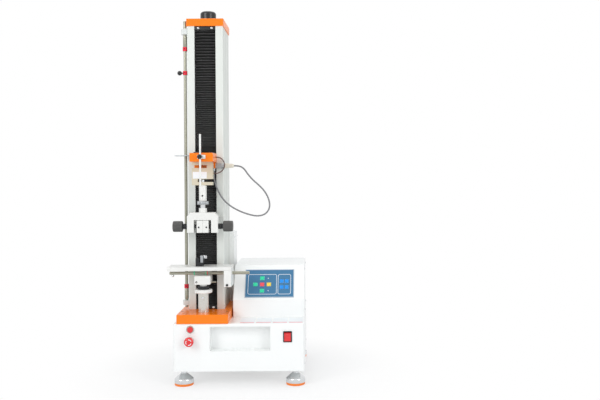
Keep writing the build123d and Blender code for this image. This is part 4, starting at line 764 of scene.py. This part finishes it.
# %% [markdown]
# ## Lower fixture
# A polished post with a cross pin carries a disc, a black lock ring and a white seat. The seat
# holds a steel guide shaft in an open groove, on which the table slides. All of it stands still,
# so its pieces only need the right heights on the load line.

# %% Lower fixture
POST_PIN = (-114.5, 50, 268.8)
GUIDE = (0, 50, 345.5)
post_rows = [(0, 223), (16.5, 223), (16.5, 226), (16, 226.6), (16.5, 227.2), (16.5, 282.8),
             (15.6, 284), (0, 284)]
post = make("post_barrel", [turned(post_rows, LOAD_LINE, sides=96)], turned_steel,
            stands_for=("fixture_post",))
drilled(post, turned([(4, -20), (4, 20)], POST_PIN, "y", 32))
pin_rows = [(0, -17.2), (3.4, -17.2), (3.9, -16.7), (3.9, 16.7), (3.4, 17.2), (0, 17.2)]
make("post_pin", [turned(pin_rows, POST_PIN, "y", 32)], polished_steel)
disc_rows = [(7.6, 284), (26.2, 284), (27.5, 285.3), (27.5, 293.5), (26.2, 295), (7.6, 295)]
make("post_disc", [turned(disc_rows, LOAD_LINE, sides=96)], white_aluminium)
post_ring_rows = [(7.6, 295), (16.8, 295), (18, 296), (18, 304), (16.8, 305), (7.6, 305)]
make("post_ring", [turned(post_ring_rows, LOAD_LINE, sides=216, ribs=18, depth=1.2,
                          grip=(295.5, 304.5))],
     blackened_steel)
make("seat", [block((-139.5, -89.5), (312, 339), (-75, -25), 3, 1, "-y"),
              block((-138, -91), (338, 356.5), (-74, -50), 1.5, 0.6, "-y"),
              turned([(11, 305), (11, 312.4)], LOAD_LINE)],
     white_aluminium, stands_for=("fixture_block",))
screws("seat_screw", socket_head, "-y", 4, [(-133, 26.4, 320)])
shaft_rows = [(0, -221), (4, -221), (5, -220), (5, 30), (4, 31), (0, 31)]
seat_pin_rows = [(2.5, -90), (2.5, -75.2), (2.1, -74.5), (0, -74.5)]
make("guide_bar", [turned(shaft_rows, GUIDE, "x"),
                   turned(seat_pin_rows, (0, 50, 317), "x", 24)],
     dark_rod_steel)
marker_rows = np.array([(5, 0), (6.2, 0.3), (6.2, 2.9), (5, 3.2)])
make("shaft_rings", [turned(marker_rows + (0, x), GUIDE, "x", 32) for x in (-144.4, -107)],
     film_green)
make("shaft_ring_red", [turned(marker_rows + (0, -103.6), GUIDE, "x", 32)], film_red)
arc = np.linspace(-np.pi / 2, np.pi / 2, 15)
guide_ball_rows = np.c_[4.5 * np.cos(arc), 4.5 * np.sin(arc)]
make("guide_ball", [turned(guide_ball_rows, (-211, 50, 337.5), sides=32)], polished_steel)

# %% [markdown]
# ## Sliding table
# A white plate with a slot line near each long edge hangs on a plate at its right, which the
# shaft passes through. The lines are the gaps between three strips laid on the plate, so that no
# groove has to be cut. On it stands a small dark clamp.

# %% Sliding table
TABLE_X = (-222, -23)
make("table_plate", [
    block(TABLE_X, (12, 88), (356.8, 366.2), 1.5, 0.4),
    *[block(TABLE_X, y, (366, 367.8), 0.8, 0.3) for y in ((12, 16), (18, 82), (84, 88))],
    block((12, 88), (305.8, 357), (-46, -23), 3, 1, "x")],
     white_aluminium, "peel_table", ("peel_table",))
screws("table_screw", socket_head, "-y", 5, [(-36, 12.6, 312)], body="peel_table")
make("clamp_jaw", [block((-137, -114), (367.8, 379.8), (-63, -37), 1, 0.5, "-y"),
                   block((-137, -125), (379, 393.8), (-63, -37), 1, 0.6, "-y")],
     blackened_steel, "peel_table")
make("clamp_plate", [block((-122, -114), (378, 401.8), (-62.5, -37.5), 1, 0.6, "-y")],
     machined_aluminium, "peel_table")
clamp_rows = [(0, -9), (2.4, -9), (2.4, 0.1), (4.6, 0.1), (5.5, 1), (5.5, 10), (4.6, 11),
              (0, 11)]
make("clamp_wheel", [turned(clamp_rows, (-113.7, 50, 395.8), "x", 96, ribs=16, depth=0.7,
                            grip=(0.5, 10.5))],
     polished_steel, "clamp_knob", ("clamp_knob",))

# %% [markdown]
# ## Keypad
# The film has a silver rim, two white outlines round its groups of keys, small lamps and
# keys that stand up a little. Everything lies on the sloping front, so its blocks are built
# in the slope's own directions. Built flat and turned later, they would need a place of their
# own, which the export takes away.

# %% Keypad
ARROW_KEY, MENU_KEY = (14, 13), (12.5, 12.5)  # width and height of a key
make("film_rim", [surround((9, 168), (7, 106), (0.9, 1.5), 2, 2.2, 0.2, "slope")], film_silver)
make("film_outlines", [surround(x, (17.6, 88.6), (1.1, 1.35), 6, 1.4, 0.05, "slope")
                       for x in ((18.2, 111.7), (115.6, 158.1))],
     film_white)
lamp_rows = [(1.6, 1.0), (1.6, 1.5), (1.1, 1.8), (0, 1.9)]
make("film_lamps", [turned(lamp_rows, SLOPE_FOOT + x * np.array([1, 0, 0]) + v * SLOPE_UP,
                           "slope", 24) for x, v in ((84, 74.2), (84.5, 30.3))],
     film_white)
KEYS = {  # middle across and up the slope, size, finish and slot
    "key_up": (64.3, 74.6, ARROW_KEY, film_green, "key_green"),
    "key_left": (42.3, 52.6, ARROW_KEY, film_green, "key_green"),
    "key_stop": (64.3, 52.6, ARROW_KEY, film_red, "key_red"),
    "key_right": (86.3, 52.6, ARROW_KEY, film_yellow, "key_yellow"),
    "key_down": (64.3, 30.6, ARROW_KEY, film_green, "key_green"),
    "menu_key_1": (127.95, 64.15, MENU_KEY, film_azure, "key_blue"),
    "menu_key_2": (144.25, 64.15, MENU_KEY, film_azure, "key_blue"),
    "menu_key_3": (127.95, 42.85, MENU_KEY, film_azure, "key_blue"),
    "menu_key_4": (144.25, 42.85, MENU_KEY, film_azure, "key_blue"),
}
for key, (x, v, (width, height), look, slot) in KEYS.items():
    make(key + "_cap", [block(span(x, width), span(v, height), (0.5, 1.7), 1.8, 0.6, "slope")],
         look, key, (key,))

# %% [markdown]
# ## Plates on the deck
# In front of the keypad box lie four bare plates, each with a thin red line at its front. Half a
# millimetre of real thickness gives each plate an edge that a flat picture would lack.

# %% Plates on the deck
PLATES = [(2, 48), (52, 100), (104, 150), (154, 198)]
make("deck_plates", [block(x, (6, 92), (194.9, 195.4), 1.5, 0.15) for x in PLATES], film_white)
make("deck_lines", [block((low + 1, high - 1), (7, 22), (195.3, 195.6), 0.4, 0.05)
                    for low, high in PLATES],
     film_pink)

# %% [markdown]
# ## Bench, light and background
# The photograph is bright and almost without shadow. Brighter lamps would burn out the white
# paint. So three broad lamps and a pale surround light the machine at a plain level, and what
# the camera, gloss and glass see behind it is plain white.

# %% Bench and background
BENCH_HALF = 30  # metres, so that its edge is out of sight
WHITE = (1, 1, 1, 1)


def seen_by_eye(tree):
    """1 for camera, glossy and transmission rays, 0 for the rays that light the object."""
    ray = node(tree, "ShaderNodeLightPath")
    seen = node(tree, "ShaderNodeMath", {
        0: ray.outputs["Is Camera Ray"], 1: ray.outputs["Is Glossy Ray"]}, operation="ADD")
    every = node(tree, "ShaderNodeMath", {
        0: seen.outputs[0], 1: ray.outputs["Is Transmission Ray"]}, operation="ADD",
        use_clamp=True)
    return every.outputs[0]


def bench_material():
    """A pale bench that keeps its shadow near the machine and is plain white further out:
    the share of white goes from 0.55 to 1 between 0.25 m and 0.6 m from the middle."""
    material, tree = bare_material("pale_bench")
    where = node(tree, "ShaderNodeTexCoord").outputs["Object"]
    away = node(tree, "ShaderNodeVectorMath", {0: where}, operation="LENGTH")
    fade = node(tree, "ShaderNodeMapRange", {
        "Value": away.outputs["Value"], "From Min": 0.25, "From Max": 0.6, "To Min": 0.55},
        interpolation_type="SMOOTHSTEP")
    both = node(tree, "ShaderNodeMath", {
        0: fade.outputs["Result"], 1: seen_by_eye(tree)}, operation="MULTIPLY")
    shade = node(tree, "ShaderNodeBsdfPrincipled", {
        "Base Color": linear("#FDFDFD"), "Roughness": 0.7, "Specular IOR Level": 0.1})
    white = node(tree, "ShaderNodeEmission", {"Color": WHITE, "Strength": 1.0})
    mix = node(tree, "ShaderNodeMixShader", {
        0: both.outputs[0], 1: shade.outputs[0], 2: white.outputs[0]})
    node(tree, "ShaderNodeOutputMaterial", {"Surface": mix.outputs[0]})
    return material


bench_mesh = bpy.data.meshes.new("bench")
bench_corners = BENCH_HALF * np.array([(-1, -1, 0), (1, -1, 0), (1, 1, 0), (-1, 1, 0)])
bench_mesh.from_pydata(bench_corners.tolist(), [], [(0, 1, 2, 3)])
bench_mesh.materials.append(bench_material())
bench = bpy.data.objects.new("bench", bench_mesh)
scene.collection.objects.link(bench)

world = bpy.data.worlds.new("surround")
scene.world = world
world.use_nodes = True
sky = world.node_tree
sky.nodes.clear()
light = node(sky, "ShaderNodeBackground", {"Color": linear("#F4F7FA"), "Strength": 0.56})
white = node(sky, "ShaderNodeBackground", {"Color": WHITE, "Strength": 1.0})
both = node(sky, "ShaderNodeMixShader", {
    0: seen_by_eye(sky), 1: light.outputs[0], 2: white.outputs[0]})
node(sky, "ShaderNodeOutputWorld", {"Surface": both.outputs[0]})

# %% Lamps
def lamp(name, place, target, size, power):
    """An area lamp at a place, in metres, whose -Z axis points at the target."""
    data = bpy.data.lights.new(name, "AREA")
    data.shape = "RECTANGLE"
    data.size, data.size_y = size
    data.energy = power
    lit = bpy.data.objects.new(name, data)
    scene.collection.objects.link(lit)
    lit.location = place
    lit.rotation_euler = (Vector(target) - Vector(place)).to_track_quat("-Z", "Y").to_euler()
    print(name, power, "W")


lamp("front_left", (-1.9, -2.4, 1.9), (0, 0, 0.5), (1.4, 1.8), 34)
lamp("front_right", (2.1, -2.2, 1.5), (0, 0, 0.5), (1.2, 1.8), 24)
lamp("overhead", (0.1, 0.2, 2.8), (0, 0, 0.4), (1.8, 1.8), 17)
